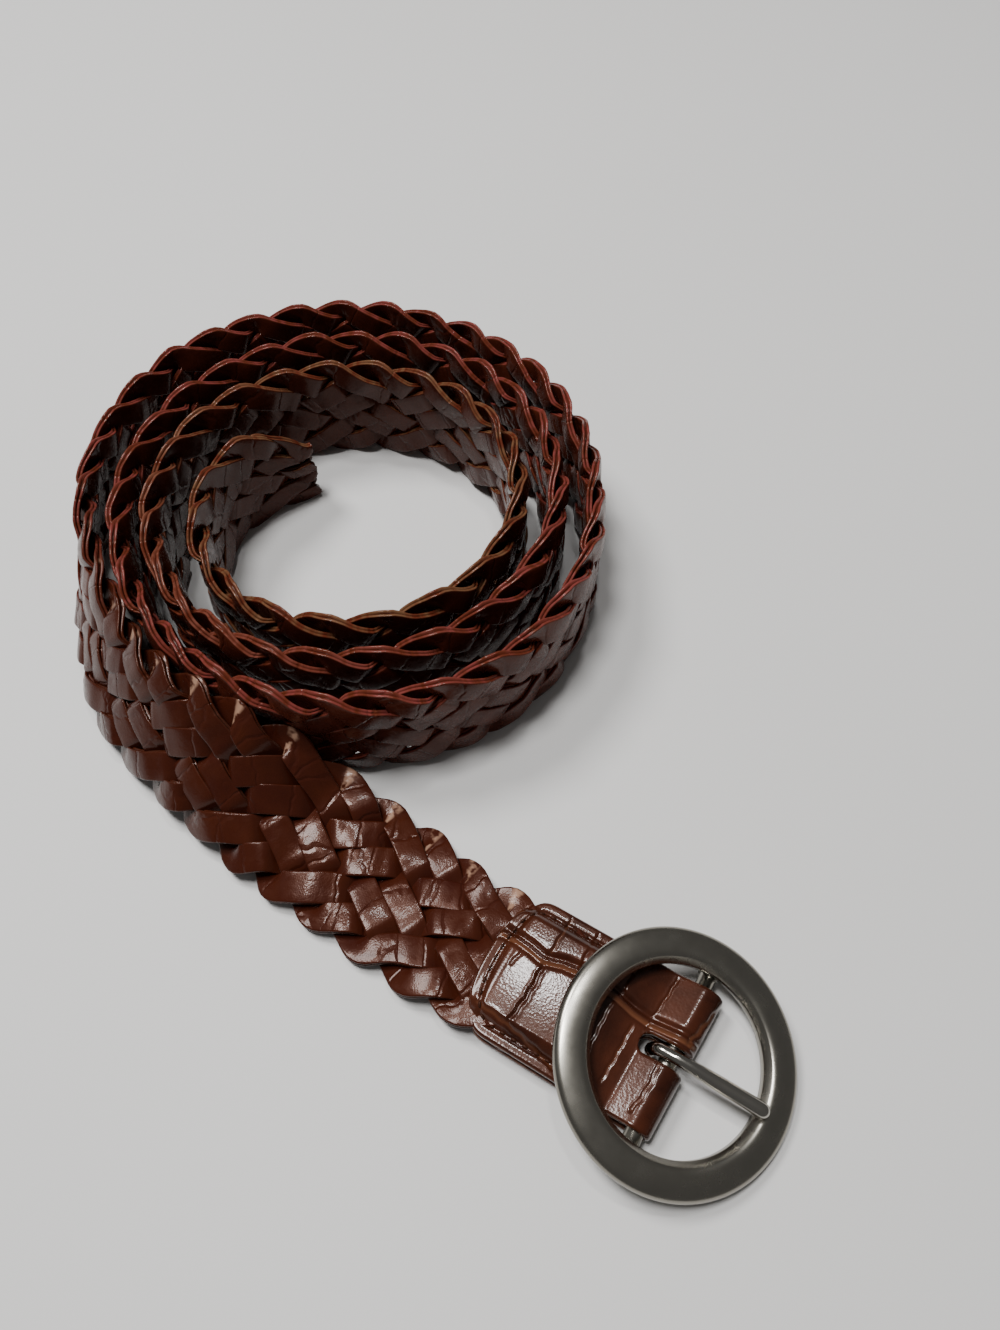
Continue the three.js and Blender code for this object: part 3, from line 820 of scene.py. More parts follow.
@dataclass
class Tab:
    """The folded tab of embossed leather between braid and buckle, about the bar."""

    bar: Bar
    width: float = 33 * MM
    length: float = 48.5 * MM
    end_depth: float = 9 * MM
    pocket: float = 25 * MM
    pocket_height: float = 4.8 * MM
    dip: float = 1.5 * MM
    slot_length: float = 11.5 * MM
    slot_half_width: float = 2.25 * MM
    edge_rounding: float = 0.6 * MM
    thinnest: float = 0.4 * MM
    fold_skew: float = 0.9 * MM
    skew_length: float = 20 * MM
    thread_lift: float = 0.12 * MM
    seam_start: float = 16.5 * MM
    along_step: float = 0.33 * MM
    across_count: int = 52
    pinch: float = 2.3 * MM
    seam_inset: float = 2.9 * MM
    seam_depth: float = 0.45 * MM
    seam_width: float = 0.55 * MM
    end_drop: float = 0.8 * MM
    dome: float = 0.3 * MM
    stitch_pitch: float = 2.7 * MM
    stitch_length: float = 1.5 * MM
    thread_thickness: float = 0.68 * MM

    # The long groove between the plates of the embossing, as x and y of its lower side
    GROOVE = (
        (-46, 4.0), (-40, 3.9), (-36, 3.5), (-33, 2.9), (-31.5, 3.1), (-28, 4.2), (-24, 4.7),
        (-16, 4.4), (-11, 3.4), (-7, 3.2), (0, 3.6), (6, 3.8),
    )
    # The groove's section: rise, place across, width, and whether it fades towards the fold
    GROOVE_SECTION = ((-0.95, 1.9, 0.75, True), (0.35, 0.8, 0.42, False), (-0.4, -0.15, 0.5, False))
    CREASES = (
        Crease((-32, 2.9), (-32.7, -11.5), 0.5, 0.6, 0.32),
        Crease((-31.7, 15.5), (-31.8, 5.5), 0.1, 0.18, 0.3, 0.6),
        Crease((-24.9, 15.5), (-24.8, 6.5), -0.1, 0.25, 0.3, 0.3),
        Crease((-21.5, 3.4), (-21.0, -12), -0.4, 0.4, 0.35),
        Crease((-16.0, 4.0), (-15.2, -14), -0.4, 0.3, 0.35),
        Crease((-14.5, 15.0), (-15.0, 6.0), -0.2, 0.3, 0.35),
        Crease((-6.0, 15.5), (-6.8, 5.6), 0.1, 0.24, 0.3, 0.5),
        Crease((-10.0, 1.6), (-10.3, -12), 0.2, 0.2, 0.28, 0.6),
        Crease((-1.4, -2.4), (-1.7, -14), 0.6, 0.25, 0.3, 0.5),
        Crease((3.3, 15.0), (1.4, 3.6), -0.1, 0.25, 0.3, 0.8),
        Crease((-41, -11.2), (-20, -14.4), 0.6, 0.3, 0.38, 0.6),
        Crease((-44, 6.5), (-41.5, 11.5), 0.4, 0.2, 0.25, 0.5),
        Crease((-37.5, 3.2), (-38.4, -1.0), 0.2, 0.12, 0.3, 0.3),
    )

    @property
    def end(self) -> float:
        """Returns where the rounded end is, along X from the bar."""
        return self.bar.fold_radius - self.length

    @property
    def top(self) -> float:
        """Returns the height of the upper leaf's face over the braid."""
        return 2 * self.bar.leaf + self.pocket_height

    def path(self) -> tuple[np.ndarray, np.ndarray]:
        """Follows the middle of the leather from the lower leaf's end round the bar and back.

        Returns:
            The points of the path as x and height, evenly spaced, and the outward normals.
        """
        half = self.bar.leaf / 2
        radius = self.bar.fold_radius - half
        centre = self.bar.fold_radius
        lower = [(self.end + i * MM, half) for i in range(int(-self.end / MM))]
        round_bar = [
            (radius * math.cos(a), centre + radius * math.sin(a))
            for a in np.linspace(-math.pi / 2, math.pi * 0.56, 40)
        ]
        dip = self.top - self.dip - half
        pocket_end = self.end + self.pocket
        upper = [(-2.0 * radius, dip - 0.35 * MM), (-3.0 * radius, dip)]
        upper += [(pocket_end + 0.5 * MM, self.top - half - 0.05 * MM)]
        spans = range(1, int(self.pocket / 5 / MM))
        upper += [(pocket_end - i * 5 * MM, self.top - half) for i in spans]
        upper += [(self.end, self.top - half - 0.5 * MM)]
        knots = np.array(lower + round_bar + upper)
        steps = np.linalg.norm(np.diff(knots, axis=0), axis=1)
        lengths = np.concatenate([[0], np.cumsum(steps)])
        count = int(lengths[-1] / self.along_step)
        wanted = np.linspace(0, lengths[-1], count)
        line = np.column_stack([np.interp(wanted, lengths, knots[:, i]) for i in range(2)])
        for _ in range(6):
            line[1:-1] = (line[:-2] + 2 * line[1:-1] + line[2:]) / 4
        tangent = np.gradient(line, axis=0)
        tangent /= np.linalg.norm(tangent, axis=1)[:, None]
        return line, np.column_stack([tangent[:, 1], -tangent[:, 0]])

    def reach(self, x: np.ndarray) -> np.ndarray:
        """Returns how far the tab reaches to each side at places along it."""
        bow = np.clip(1 - (x - self.end) / self.end_depth, 0, 1)
        share = np.clip(1 - bow**2.6, 0, 1) ** (1 / 2.2)
        return self.width / 2 * np.maximum(share, 0.02)

    def from_edge(self, x: np.ndarray, y: np.ndarray) -> np.ndarray:
        """Returns about how far places on the tab are from its outer edge."""
        side = self.reach(x) - np.abs(y)
        corner = np.clip(np.abs(y) / (self.width / 2), 0, 1)
        ending = x - self.end - self.end_depth * (1 - np.clip(1 - corner**2.2, 0, 1) ** (1 / 2.6))
        return np.minimum(side, ending)

    def relief(self, x: np.ndarray, y: np.ndarray) -> tuple[np.ndarray, np.ndarray]:
        """Shapes the upper leaf's face.

        Args:
            x: Places along the tab from the bar.
            y: Places across it.

        Returns:
            How far the face stands out at each place, and how worn and light it is.
        """
        inset = self.from_edge(x, y)
        over_braid = smooth((-13 * MM - x) / (6 * MM))
        side = self.width / 2 - np.abs(y)
        height = -self.pinch * over_braid * (1 - smooth((side - 2.6 * MM) / (3.2 * MM)))
        height -= self.end_drop * (1 - smooth((x - self.end - 1.5 * MM) / (4 * MM)))
        seam = over_braid * bell(inset - self.seam_inset, self.seam_width)
        height -= self.seam_depth * seam
        groove = np.array(self.GROOVE) * MM
        across = y - np.interp(x, groove[:, 0], groove[:, 1])
        shallow = 1 - 0.45 * smooth((x + 13 * MM) / (4 * MM))
        for rise, place, width, fades in self.GROOVE_SECTION:
            ridge = rise * MM * bell(across - place * MM, width * MM)
            height += ridge * shallow if fades else ridge
        worn = 1.0 * bell(across - 0.15 * MM, 0.55 * MM)
        for crease in self.CREASES:
            off, fade = crease.away(x, y)
            height -= crease.depth * MM * fade * bell(off, crease.width * MM)
            lip = bell(off - 2.1 * crease.width * MM, crease.width * MM)
            height += 0.12 * crease.depth * MM * fade * lip
            worn = np.maximum(worn, crease.worn * fade * bell(off, 1.5 * crease.width * MM))
        height -= self.dome * over_braid * (y / (self.width / 2)) ** 2
        return height, worn

    def skew(self, x: np.ndarray, y: np.ndarray) -> np.ndarray:
        """Returns how much further the fold reaches on one side than on the other."""
        return self.fold_skew * y / (self.width / 2) * smooth(x / self.skew_length + 1)

    def piece(self, material: bpy.types.Material) -> bpy.types.Object:
        """Builds the tab.

        Args:
            material: Its leather.

        Returns:
            The tab's mesh object.
        """
        line, normal = self.path()
        x, z = line[:, 0], line[:, 1]
        half = self.bar.leaf / 2
        reach = self.reach(x)
        slot_end = self.bar.fold_radius - self.slot_length
        into = x - slot_end
        round_part = np.clip(1 - into / self.slot_half_width, 0, 1)
        gap = np.where(into > 0, self.slot_half_width * np.sqrt(1 - round_part**2), 0.0)
        upper = smooth((z - self.bar.fold_radius) / (2 * MM))[:, None]
        length = np.arange(len(line)) * self.along_step
        points, faces, edges, worn_marks, uvs = [], [], [], [], []
        for side in Side:
            columns = np.linspace(0, 1, self.across_count + 1)
            inner = gap[:, None]
            across = side.value * (inner + (reach[:, None] - inner) * columns[None, :])
            start = sum(len(block) for block in points)
            count = across.size
            along = x[:, None] * np.ones_like(across)
            relief, worn = self.relief(along, across)
            rim = np.maximum(self.from_edge(along, across), 0)
            slot_rim = np.where(gap[:, None] > 0, np.abs(across) - inner, 1.0)
            rim = np.minimum(rim, slot_rim)
            round_share = np.clip(1 - rim / self.edge_rounding, 0, 1)
            rounding = self.edge_rounding * (1 - np.sqrt(1 - np.minimum(round_share, 0.97) ** 2))
            sink = relief * upper
            for face in (1, -1):
                out = face * (half - np.minimum(rounding, half - self.thinnest / 2))
                out = out + (sink if face == 1 else -np.minimum(-sink, self.pinch) * (sink < 0))
                px = along + normal[:, 0][:, None] * out + self.skew(along, across)
                pz = z[:, None] + normal[:, 1][:, None] * out
                points.append(np.column_stack([px.ravel(), across.ravel(), pz.ravel()]))
                edges.append((bell(rim, 0.35 * MM) * (0.6 if face == 1 else 1.0)).ravel())
                worn_marks.append((worn * upper * (face == 1)).ravel())
                flat = np.column_stack([(length[:, None] + 0 * across).ravel(), across.ravel()])
                uvs.append(flat * UV_SCALE)
            rows, cols = across.shape
            for i in range(rows - 1):
                for j in range(cols - 1):
                    a = start + i * cols + j
                    quad = (a, a + 1, a + cols + 1, a + cols)
                    quad = quad if side is Side.UPPER else quad[::-1]
                    faces.append(quad)
                    faces.append(tuple(c + count for c in reversed(quad)))
                for j in (0, cols - 1):
                    if j == 0 and gap[i] + gap[i + 1] <= 0:
                        continue
                    a = start + i * cols + j
                    faces.append((a, a + cols, a + cols + count, a + count))
            for i in (0, rows - 1):
                for j in range(cols - 1):
                    a = start + i * cols + j
                    faces.append((a, a + 1, a + 1 + count, a + count))
        stack = np.vstack(points)
        stack[:, 0] += self.bar.place[0]
        stack[:, 1] += self.bar.place[1]
        values = {"edge": np.concatenate(edges), "worn": np.concatenate(worn_marks)}
        piece = MeshKit.build("buckle_tab_leather", stack, faces, material, np.vstack(uvs), values)
        return tidy_mesh(piece)

    def face_height(self, x: np.ndarray, y: np.ndarray) -> np.ndarray:
        """Returns the height of the upper leaf's face at places on it."""
        line, _ = self.path()
        top = line[line[:, 1] > self.bar.fold_radius + 2 * MM]
        order = np.argsort(top[:, 0])
        return np.interp(x, top[order, 0], top[order, 1]) + self.bar.leaf / 2 + self.relief(x, y)[0]

    def seam_path(self) -> np.ndarray:
        """Returns the line of the stitches, along one side, round the end and back."""
        straight = np.arange(-self.seam_start, self.end + self.end_depth, -0.5 * MM)
        side = self.width / 2 - self.seam_inset
        turn = np.linspace(0, math.pi, 60)
        depth = self.end_depth - self.seam_inset * 0.8
        cos, sin = np.cos(turn), np.sin(turn)
        y_turn = side * np.sign(cos) * np.abs(cos) ** (2 / 2.4)
        x_turn = self.end + self.end_depth - depth * sin ** (2 / 2.6)
        x = np.concatenate([straight, x_turn, straight[::-1]])
        y = np.concatenate([np.full(len(straight), side), y_turn, np.full(len(straight), -side)])
        z = self.face_height(x, y) + self.thread_lift
        return np.column_stack([x + self.bar.place[0], y + self.bar.place[1], z])

    def stitches(self, material: bpy.types.Material) -> bpy.types.Object:
        """Sews the row of stitches.

        Args:
            material: The thread.

        Returns:
            The stitches as one mesh object.
        """
        sizes = (self.stitch_pitch, self.stitch_length, self.thread_thickness)
        return StitchRow(material).sew(self.seam_path(), *sizes)


@dataclass
class StitchRow:
    """Stitches set at even distances along a line, by a tree of geometry nodes."""

    thread: bpy.types.Material
    segments: int = 10
    rings: int = 8

    def sheet(self) -> GeometrySheet:
        """Builds the tree, with the pitch, length and thickness of a stitch as inputs."""
        sizes = {key: "Float" for key in ("Pitch", "Length", "Thickness")}
        sheet = GeometrySheet("stitch row", sizes)
        given = sheet.given
        line = sheet.add("MeshToCurve", Mesh=given["Geometry"]).outputs[0]
        spaced = {"mode": "LENGTH"}
        even = sheet.add("ResampleCurve", spaced, Curve=line, Length=given["Pitch"]).outputs[0]
        tangent = sheet.add("InputTangent").outputs[0]
        along = {"axis": "X"}
        turn = sheet.add("FunctionNodeAlignRotationToVector", along, Vector=tangent).outputs[0]
        bead = sheet.add("MeshUVSphere", Segments=self.segments, Rings=self.rings, Radius=0.5)
        sides = {"Y": given["Thickness"], "Z": given["Thickness"]}
        size = sheet.add("ShaderNodeCombineXYZ", X=given["Length"], **sides).outputs[0]
        row = sheet.add(
            "InstanceOnPoints", Points=even, Instance=bead.outputs[0], Rotation=turn, Scale=size
        ).outputs[0]
        real = sheet.add("RealizeInstances", Geometry=row).outputs[0]
        soft = sheet.add("SetShadeSmooth", Geometry=real).outputs[0]
        sheet.finish(soft, self.thread)
        return sheet

    def sew(
        self, path: np.ndarray, pitch: float, length: float, thickness: float
    ) -> bpy.types.Object:
        """Sews a row.

        Args:
            path: The points of its line.
            pitch: From one stitch to the next.
            length: Of a stitch.
            thickness: Of the thread.

        Returns:
            The stitches as one mesh object.
        """
        mesh = bpy.data.meshes.new("tab_stitches")
        mesh.from_pydata(path.tolist(), [(i, i + 1) for i in range(len(path) - 1)], [])
        row = bpy.data.objects.new("tab_stitches", mesh)
        bpy.context.scene.collection.objects.link(row)
        self.sheet().run(row, Pitch=pitch, Length=length, Thickness=thickness)
        return row


def tidy_mesh(piece: bpy.types.Object, distance: float = 0.01 * MM) -> bpy.types.Object:
    """Merges doubled points and points all faces outwards."""
    work = bmesh.new()
    work.from_mesh(piece.data)
    bmesh.ops.remove_doubles(work, verts=work.verts, dist=distance)
    bmesh.ops.dissolve_degenerate(work, edges=work.edges, dist=distance / 4)
    bmesh.ops.recalc_face_normals(work, faces=work.faces)
    work.to_mesh(piece.data)
    work.free()
    piece.data.shade_smooth()
    return piece


@dataclass
class Buckle:
    """The ring with its bar and lugs, and the prong, about the bar."""

    bar: Bar
    outer: float = 26.75 * MM
    inner: float = 19.0 * MM
    thickness: float = 4.0 * MM
    bevel: float = 1.2 * MM
    crest_width: float = 1.2 * MM
    rounding: float = 2.0 * MM
    upper_rounding: float = 1.75 * MM
    lower_rounding: float = 1.7 * MM
    edge_level: float = -0.3 * MM
    tilt: float = math.radians(15)
    lug_radius: float = 2.5 * MM
    prong_radius: float = 1.8 * MM
    prong_reach: float = 22 * MM
    prong_share: float = 0.86
    prong_slender: float = 0.14
    prong_widening: float = 0.12
    prong_tip_share: float = 0.96
    slender_place: float = 1.5 * MM
    ring_segments: int = 160
    round_segments: int = 28

    @property
    def drop(self) -> float:
        """Returns how far the bar lies below the ring's middle plane."""
        height = self.outer * math.sin(self.tilt) + self.thickness / 2 * math.cos(self.tilt)
        return (height - self.bar.fold_radius) / math.cos(self.tilt)

    def tilted(self, points: np.ndarray) -> np.ndarray:
        """Turns points about the ring's middle into place."""
        cos, sin = math.cos(self.tilt), math.sin(self.tilt)
        x = points[:, 0] * cos + points[:, 2] * sin
        z = -points[:, 0] * sin + points[:, 2] * cos
        place = self.bar.place + np.array([self.drop * sin, 0, self.drop * cos])
        return np.column_stack([x, points[:, 1], z]) + place

    def rim(self) -> np.ndarray:
        """Returns the ring's cross-section as radius and height, once round."""
        half = self.thickness / 2
        corner = self.outer - self.rounding

        def round_edge(angles: np.ndarray, height: float) -> list:
            reach = corner + self.rounding * np.cos(angles)
            return list(zip(reach, self.edge_level + height * np.sin(angles)))

        outside = round_edge(np.linspace(0, 1.25, 9), self.upper_rounding)
        crest = self.inner + self.bevel + self.crest_width
        start, level = outside[-1]
        shares = np.linspace(0.15, 1, 7)
        rise = level + (half - level) * (1 - (1 - shares) ** 2)
        face = list(zip(start + (crest - start) * shares, rise))
        lip = [(self.bevel + 0.15 * MM, half * 0.93), (self.bevel, half * 0.85)]
        wall = [(0.1 * MM, half * 0.3), (0.0, half * 0.15), (0.0, -half * 0.6), (0.5 * MM, -half)]
        inside = [(self.inner + out, height) for out, height in lip + wall]
        below = round_edge(np.linspace(-1.3, -0.2, 6), self.lower_rounding)
        return np.array(outside + face + inside + [(corner, -half)] + below)

    def ring(self, material: bpy.types.Material) -> bpy.types.Object:
        """Builds ring, bar and lugs.

        Args:
            material: Their finish.

        Returns:
            The ring's mesh object.
        """
        rim = self.rim()
        angles = np.linspace(0, 2 * math.pi, self.ring_segments, endpoint=False)
        x = np.cos(angles)[:, None] * rim[:, 0][None, :]
        y = np.sin(angles)[:, None] * rim[:, 0][None, :]
        z = np.ones_like(x) * rim[:, 1][None, :]
        points = [np.column_stack([x.ravel(), y.ravel(), z.ravel()])]
        faces = MeshKit.tube_faces(self.ring_segments, len(rim), closed=True)
        lug_place = self.inner + self.lug_radius
        start = len(points[0])
        ends = ((0, side * lug_place, -self.drop) for side in (-1, 1))
        bar, bar_faces = self.rod(*ends, self.bar.radius)
        points.append(bar)
        faces += [tuple(c + start for c in face) for face in bar_faces]
        for side in Side:
            start = sum(len(block) for block in points)
            foot = (0, side.value * lug_place, -self.drop - self.bar.radius)
            lug, lug_faces = self.rod(foot, (0, side.value * lug_place, 0), self.lug_radius)
            points.append(lug)
            faces += [tuple(c + start for c in face) for face in lug_faces]
        placed = self.tilted(np.vstack(points))
        return tidy_mesh(MeshKit.build("buckle_ring_smooth", placed, faces, material))

    def rod(self, start: tuple, end: tuple, radius: float) -> tuple[np.ndarray, list]:
        """Returns the points and faces of a round rod with softened ends."""
        a, b = np.array(start, dtype=float), np.array(end, dtype=float)
        way = (b - a) / np.linalg.norm(b - a)
        side = np.cross(way, (1.0, 0.0, 0.0))
        side /= np.linalg.norm(side)
        other = np.cross(way, side)
        soft = 0.25 * radius
        rows = ((a, 0.75), (a + way * soft, 1.0), (b - way * soft, 1.0), (b, 0.75))
        turn = np.linspace(0, 2 * math.pi, self.round_segments, endpoint=False)
        points = [
            middle + radius * share * (math.cos(t) * side + math.sin(t) * other)
            for middle, share in rows for t in turn
        ]
        return np.array(points), MeshKit.tube_faces(len(rows), self.round_segments)

    def prong(self, material: bpy.types.Material) -> bpy.types.Object:
        """Builds the prong, with its eye round the bar.

        Args:
            material: Its finish.

        Returns:
            The prong's mesh object.
        """
        hole = self.bar.radius + self.bar.clearance
        radius = self.prong_radius
        crown = hole + radius
        rim_top = self.drop * math.cos(self.tilt) - self.prong_reach * math.sin(self.tilt)
        rim_top += self.thickness / 2 / math.cos(self.tilt) + radius + self.bar.clearance
        knots = [
            (-crown, -1.4 * MM), (-crown, 0.0), (-crown * 0.72, crown * 0.72), (0, crown),
            (4 * MM, crown + 0.15 * MM), (self.prong_reach / 2, (crown + rim_top) / 2),
            (self.prong_reach - radius, rim_top),
        ]
        line = rounded(np.array(knots))
        tangent = np.gradient(line, axis=0)
        tangent /= np.linalg.norm(tangent, axis=1)[:, None]
        normal = np.column_stack([-tangent[:, 1], tangent[:, 0]])
        turn = np.linspace(0, 2 * math.pi, self.round_segments, endpoint=False)
        keep = slice(0, len(line), 3)
        rows, normals, ends = line[keep], normal[keep], tangent[keep]
        rings = []

        def ring(middle: np.ndarray, out: np.ndarray, high: float, wide: float) -> None:
            rings.append([
                (middle[0] + out[0] * high * math.cos(t), wide * math.sin(t),
                 middle[1] + out[1] * high * math.cos(t)) for t in turn
            ])

        for middle, out in zip(rows, normals):
            slender = self.prong_slender * float(bell(middle[0] - self.slender_place, 6 * MM))
            full = radius * (self.prong_share - slender)
            wider = self.prong_widening * float(smooth(middle[0] / (12 * MM)))
            ring(middle, out, full, full * (1 + wider))
        full = radius * self.prong_share
        for angle in np.linspace(0.15, 1.45, 7):
            share = math.cos(angle)
            tip = rows[-1] + ends[-1] * radius * math.sin(angle)
            ring(tip, normals[-1], full * share, radius * self.prong_tip_share * share)
        points = np.array(rings).reshape(-1, 3)
        faces = MeshKit.tube_faces(len(rings), self.round_segments)
        placed = points + self.bar.place
        return tidy_mesh(MeshKit.build("buckle_prong_smooth", placed, faces, material))


class FinishSheet(Sheet):
    """A material's tree of nodes."""

    def __init__(self, name: str) -> None:
        """Starts a material with one surface.

        Args:
            name: The material's name.
        """
        self.material = bpy.data.materials.new(name)
        self.material.use_nodes = True
        super().__init__(self.material.node_tree)
        self.tree.nodes.clear()
        output = self.add("OutputMaterial")
        self.surface = self.add("BsdfPrincipled")
        self.put(output, "Surface", self.surface.outputs[0])

    def mix(self, share: object, first: object, second: object) -> bpy.types.NodeSocket:
        """Mixes two colours and returns the result."""
        node = self.add("Mix", {"data_type": "RGBA"})
        for place, value in zip((0, 6, 7), (share, first, second)):
            self.put(node, place, value)
        return node.outputs[2]

    def ramp(self, value: object, low: float, high: float) -> bpy.types.NodeSocket:
        """Spreads a range of a value over 0 to 1 and returns the result."""
        node = self.add("MapRange", Value=value, From_Min=low, From_Max=high)
        return node.outputs[0]


@dataclass(frozen=True)
class Leather:
    """A leather finish."""

    name: str
    base: tuple
    dark: tuple
    edge: tuple
    worn_edge: tuple
    roughness: float
    coat: float
    grain: float
    # A darker copy of the strips' colour for the flat run, as painted shade
    run_painted_shade_base: tuple = (0.042, 0.0092, 0.0038, 1)
    run_edge: tuple = (0.045, 0.014, 0.008, 1)
    # How deep the plates' crease lines are embossed, and how much painted shade darkens them
    plates: float = 1.0
    wrinkles: float = 1.0
    pore_depth: float = 0.07
    evenness: float = 0.6
    # How far painted shade darkens the coil's inner turns towards the dark colour
    inner_painted_shade: float = 0.0
    shine_tint: tuple = (1.0, 0.6, 0.47, 1)
    # The colour of the painted glint where the strips fold at the upper edge of the flat run
    fold_painted_glint: tuple = (0.26, 0.15, 0.10, 1)
    plate_scale: float = 9.0
    plate_stretch: float = 0.3
    mottle_scale: float = 9.0
    bend_scale: float = 16.0
    bend: float = 0.03
    crease_scale: float = 42.0
    patch_scale: float = 6.0
    shine: float = 0.16
    coat_roughness: float = 0.12
    bump_strength: float = 0.5
    bump_height: float = 0.0004

    def material(self) -> bpy.types.Material:
        """Builds the finish and returns it."""
        sheet = FinishSheet(self.name)
        uv = sheet.add("UVMap", {"uv_map": "grain"}).outputs[0]
        cloudy = {"Scale": self.mottle_scale, "Detail": 4.0, "Roughness": 0.6}
        mottle = sheet.add("TexNoise", Vector=uv, **cloudy)
        patch = sheet.ramp(mottle.outputs[0], 0.3, 0.68)
        reach = sheet.add("Attribute", {"attribute_name": "reach"}).outputs["Fac"]
        in_run = sheet.ramp(reach, 0.84, 0.89)
        # Painted shade: the same strips get a darker copy of their colour in the flat run than in
        # the coil
        base = sheet.mix(in_run, self.base, self.run_painted_shade_base)
        colour = sheet.mix(patch, self.dark, base)
        inner = sheet.ramp(reach, 0.34, 0.2)
        # Painted shade: the coil's inner turns are darkened towards the dark colour
        colour = sheet.mix(sheet.math("MULTIPLY", inner, self.inner_painted_shade), colour, self.dark)
        marks = sheet.add("Mapping", Vector=uv, Scale=(1.0, self.plate_stretch, 1.0))
        bent = sheet.add("TexNoise", Vector=uv, Scale=self.bend_scale, Detail=2.0)
        scaling = {"operation": "SCALE"}
        shift = sheet.add("VectorMath", scaling, Vector=bent.outputs[1], Scale=self.bend)
        where = sheet.vector("ADD", marks.outputs[0], shift.outputs[0])
        plates = sheet.add("TexVoronoi", {"feature": "DISTANCE_TO_EDGE"}, Vector=where)
        sheet.put(plates, "Scale", self.plate_scale)
        plate_edge = sheet.ramp(plates.outputs[0], 0.0, 0.035)
        # Painted shade: the crease lines between the plates are darkened towards the dark colour,
        # besides being sunk by the bump
        line = sheet.ramp(plates.outputs[0], 0.03, 0.0)
        colour = sheet.mix(sheet.math("MULTIPLY", line, 0.6 * self.plates), colour, self.dark)
        worn_mark = sheet.add("Attribute", {"attribute_name": "worn"}).outputs["Fac"]
        colour = sheet.mix(sheet.ramp(worn_mark, 0.3, 1.3), colour, self.worn_edge)
        edge = sheet.add("Attribute", {"attribute_name": "edge"}).outputs["Fac"]
        edge_colour = sheet.mix(inner, self.edge, self.worn_edge)
        edge_colour = sheet.mix(in_run, edge_colour, self.run_edge)
        # Noise for edge paint rubbed off to the base colour, and for breaking up the painted glint
        # at the folds
        rub_and_glint_noise = sheet.add("TexNoise", Vector=uv, Scale=self.crease_scale, Detail=2.0)
        edge_colour = sheet.mix(sheet.ramp(rub_and_glint_noise.outputs[0], 0.62, 0.38), edge_colour, base)
        # Painted highlight: a light glint across each strip where it folds at the braid's upper
        # edge in the flat run
        turning = sheet.add("Attribute", {"attribute_name": "turning"}).outputs["Fac"]
        folded = sheet.ramp(turning, 0.84, 0.97)
        folded = sheet.math("MULTIPLY", folded, sheet.ramp(rub_and_glint_noise.outputs[0], 0.45, 0.55))
        folded = sheet.math("MULTIPLY", folded, in_run)
        colour = sheet.mix(folded, colour, self.fold_painted_glint)
        colour = sheet.mix(sheet.ramp(edge, 0.3, 0.9), colour, edge_colour)
        sheet.put(sheet.surface, "Base Color", colour)
        pores = sheet.add("TexVoronoi", Vector=uv, Scale=self.grain)
        creases = sheet.add(
            "TexNoise", Vector=uv, Scale=self.crease_scale, Detail=4.0, Distortion=0.5
        )
        wrinkled = sheet.add("TexNoise", Vector=uv, Scale=self.patch_scale, Detail=1.0)
        wrinkle_share = sheet.ramp(wrinkled.outputs[0], 0.5, 0.68)
        height = sheet.math("MULTIPLY", pores.outputs[0], self.pore_depth)
        folds = sheet.math("MULTIPLY", creases.outputs[0], sheet.math("ADD", wrinkle_share, 0.25))
        folds = sheet.math("MULTIPLY", folds, self.wrinkles)
        height = sheet.math("ADD", height, folds)
        height = sheet.math("ADD", height, sheet.math("MULTIPLY", plate_edge, self.plates))
        strength = {"Strength": self.bump_strength, "Distance": self.bump_height}
        bump = sheet.add("Bump", Height=height, **strength)
        sheet.put(sheet.surface, "Normal", bump.outputs[0])
        rough = sheet.ramp(creases.outputs[0], 0.2, 0.8)
        rough = sheet.math("MULTIPLY", sheet.math("ADD", rough, self.evenness), self.roughness)
        sheet.put(sheet.surface, "Roughness", rough)
        sheet.put(sheet.surface, "Specular IOR Level", self.shine)
        sheet.put(sheet.surface, "Specular Tint", self.shine_tint)
        sheet.put(sheet.surface, "Coat Weight", self.coat)
        sheet.put(sheet.surface, "Coat Roughness", self.coat_roughness)
        sheet.put(sheet.surface, "Coat Normal", bump.outputs[0])
        return sheet.material


@dataclass(frozen=True)
class Metal:
    """A metal finish."""

    name: str
    base: tuple
    roughness: float
    cloud_scale: float = 220.0

    def material(self) -> bpy.types.Material:
        """Builds the finish and returns it."""
        sheet = FinishSheet(self.name)
        place = sheet.add("TexCoord").outputs["Object"]
        cloud = sheet.add("TexNoise", Vector=place, Scale=self.cloud_scale, Detail=3.0)
        sheet.put(sheet.surface, "Base Color", self.base)
        sheet.put(sheet.surface, "Metallic", 1.0)
        uneven = sheet.ramp(cloud.outputs[0], -1.5, 1.5)
        rough = sheet.math("MULTIPLY", uneven, self.roughness * 1.5)
        sheet.put(sheet.surface, "Roughness", rough)
        return sheet.material


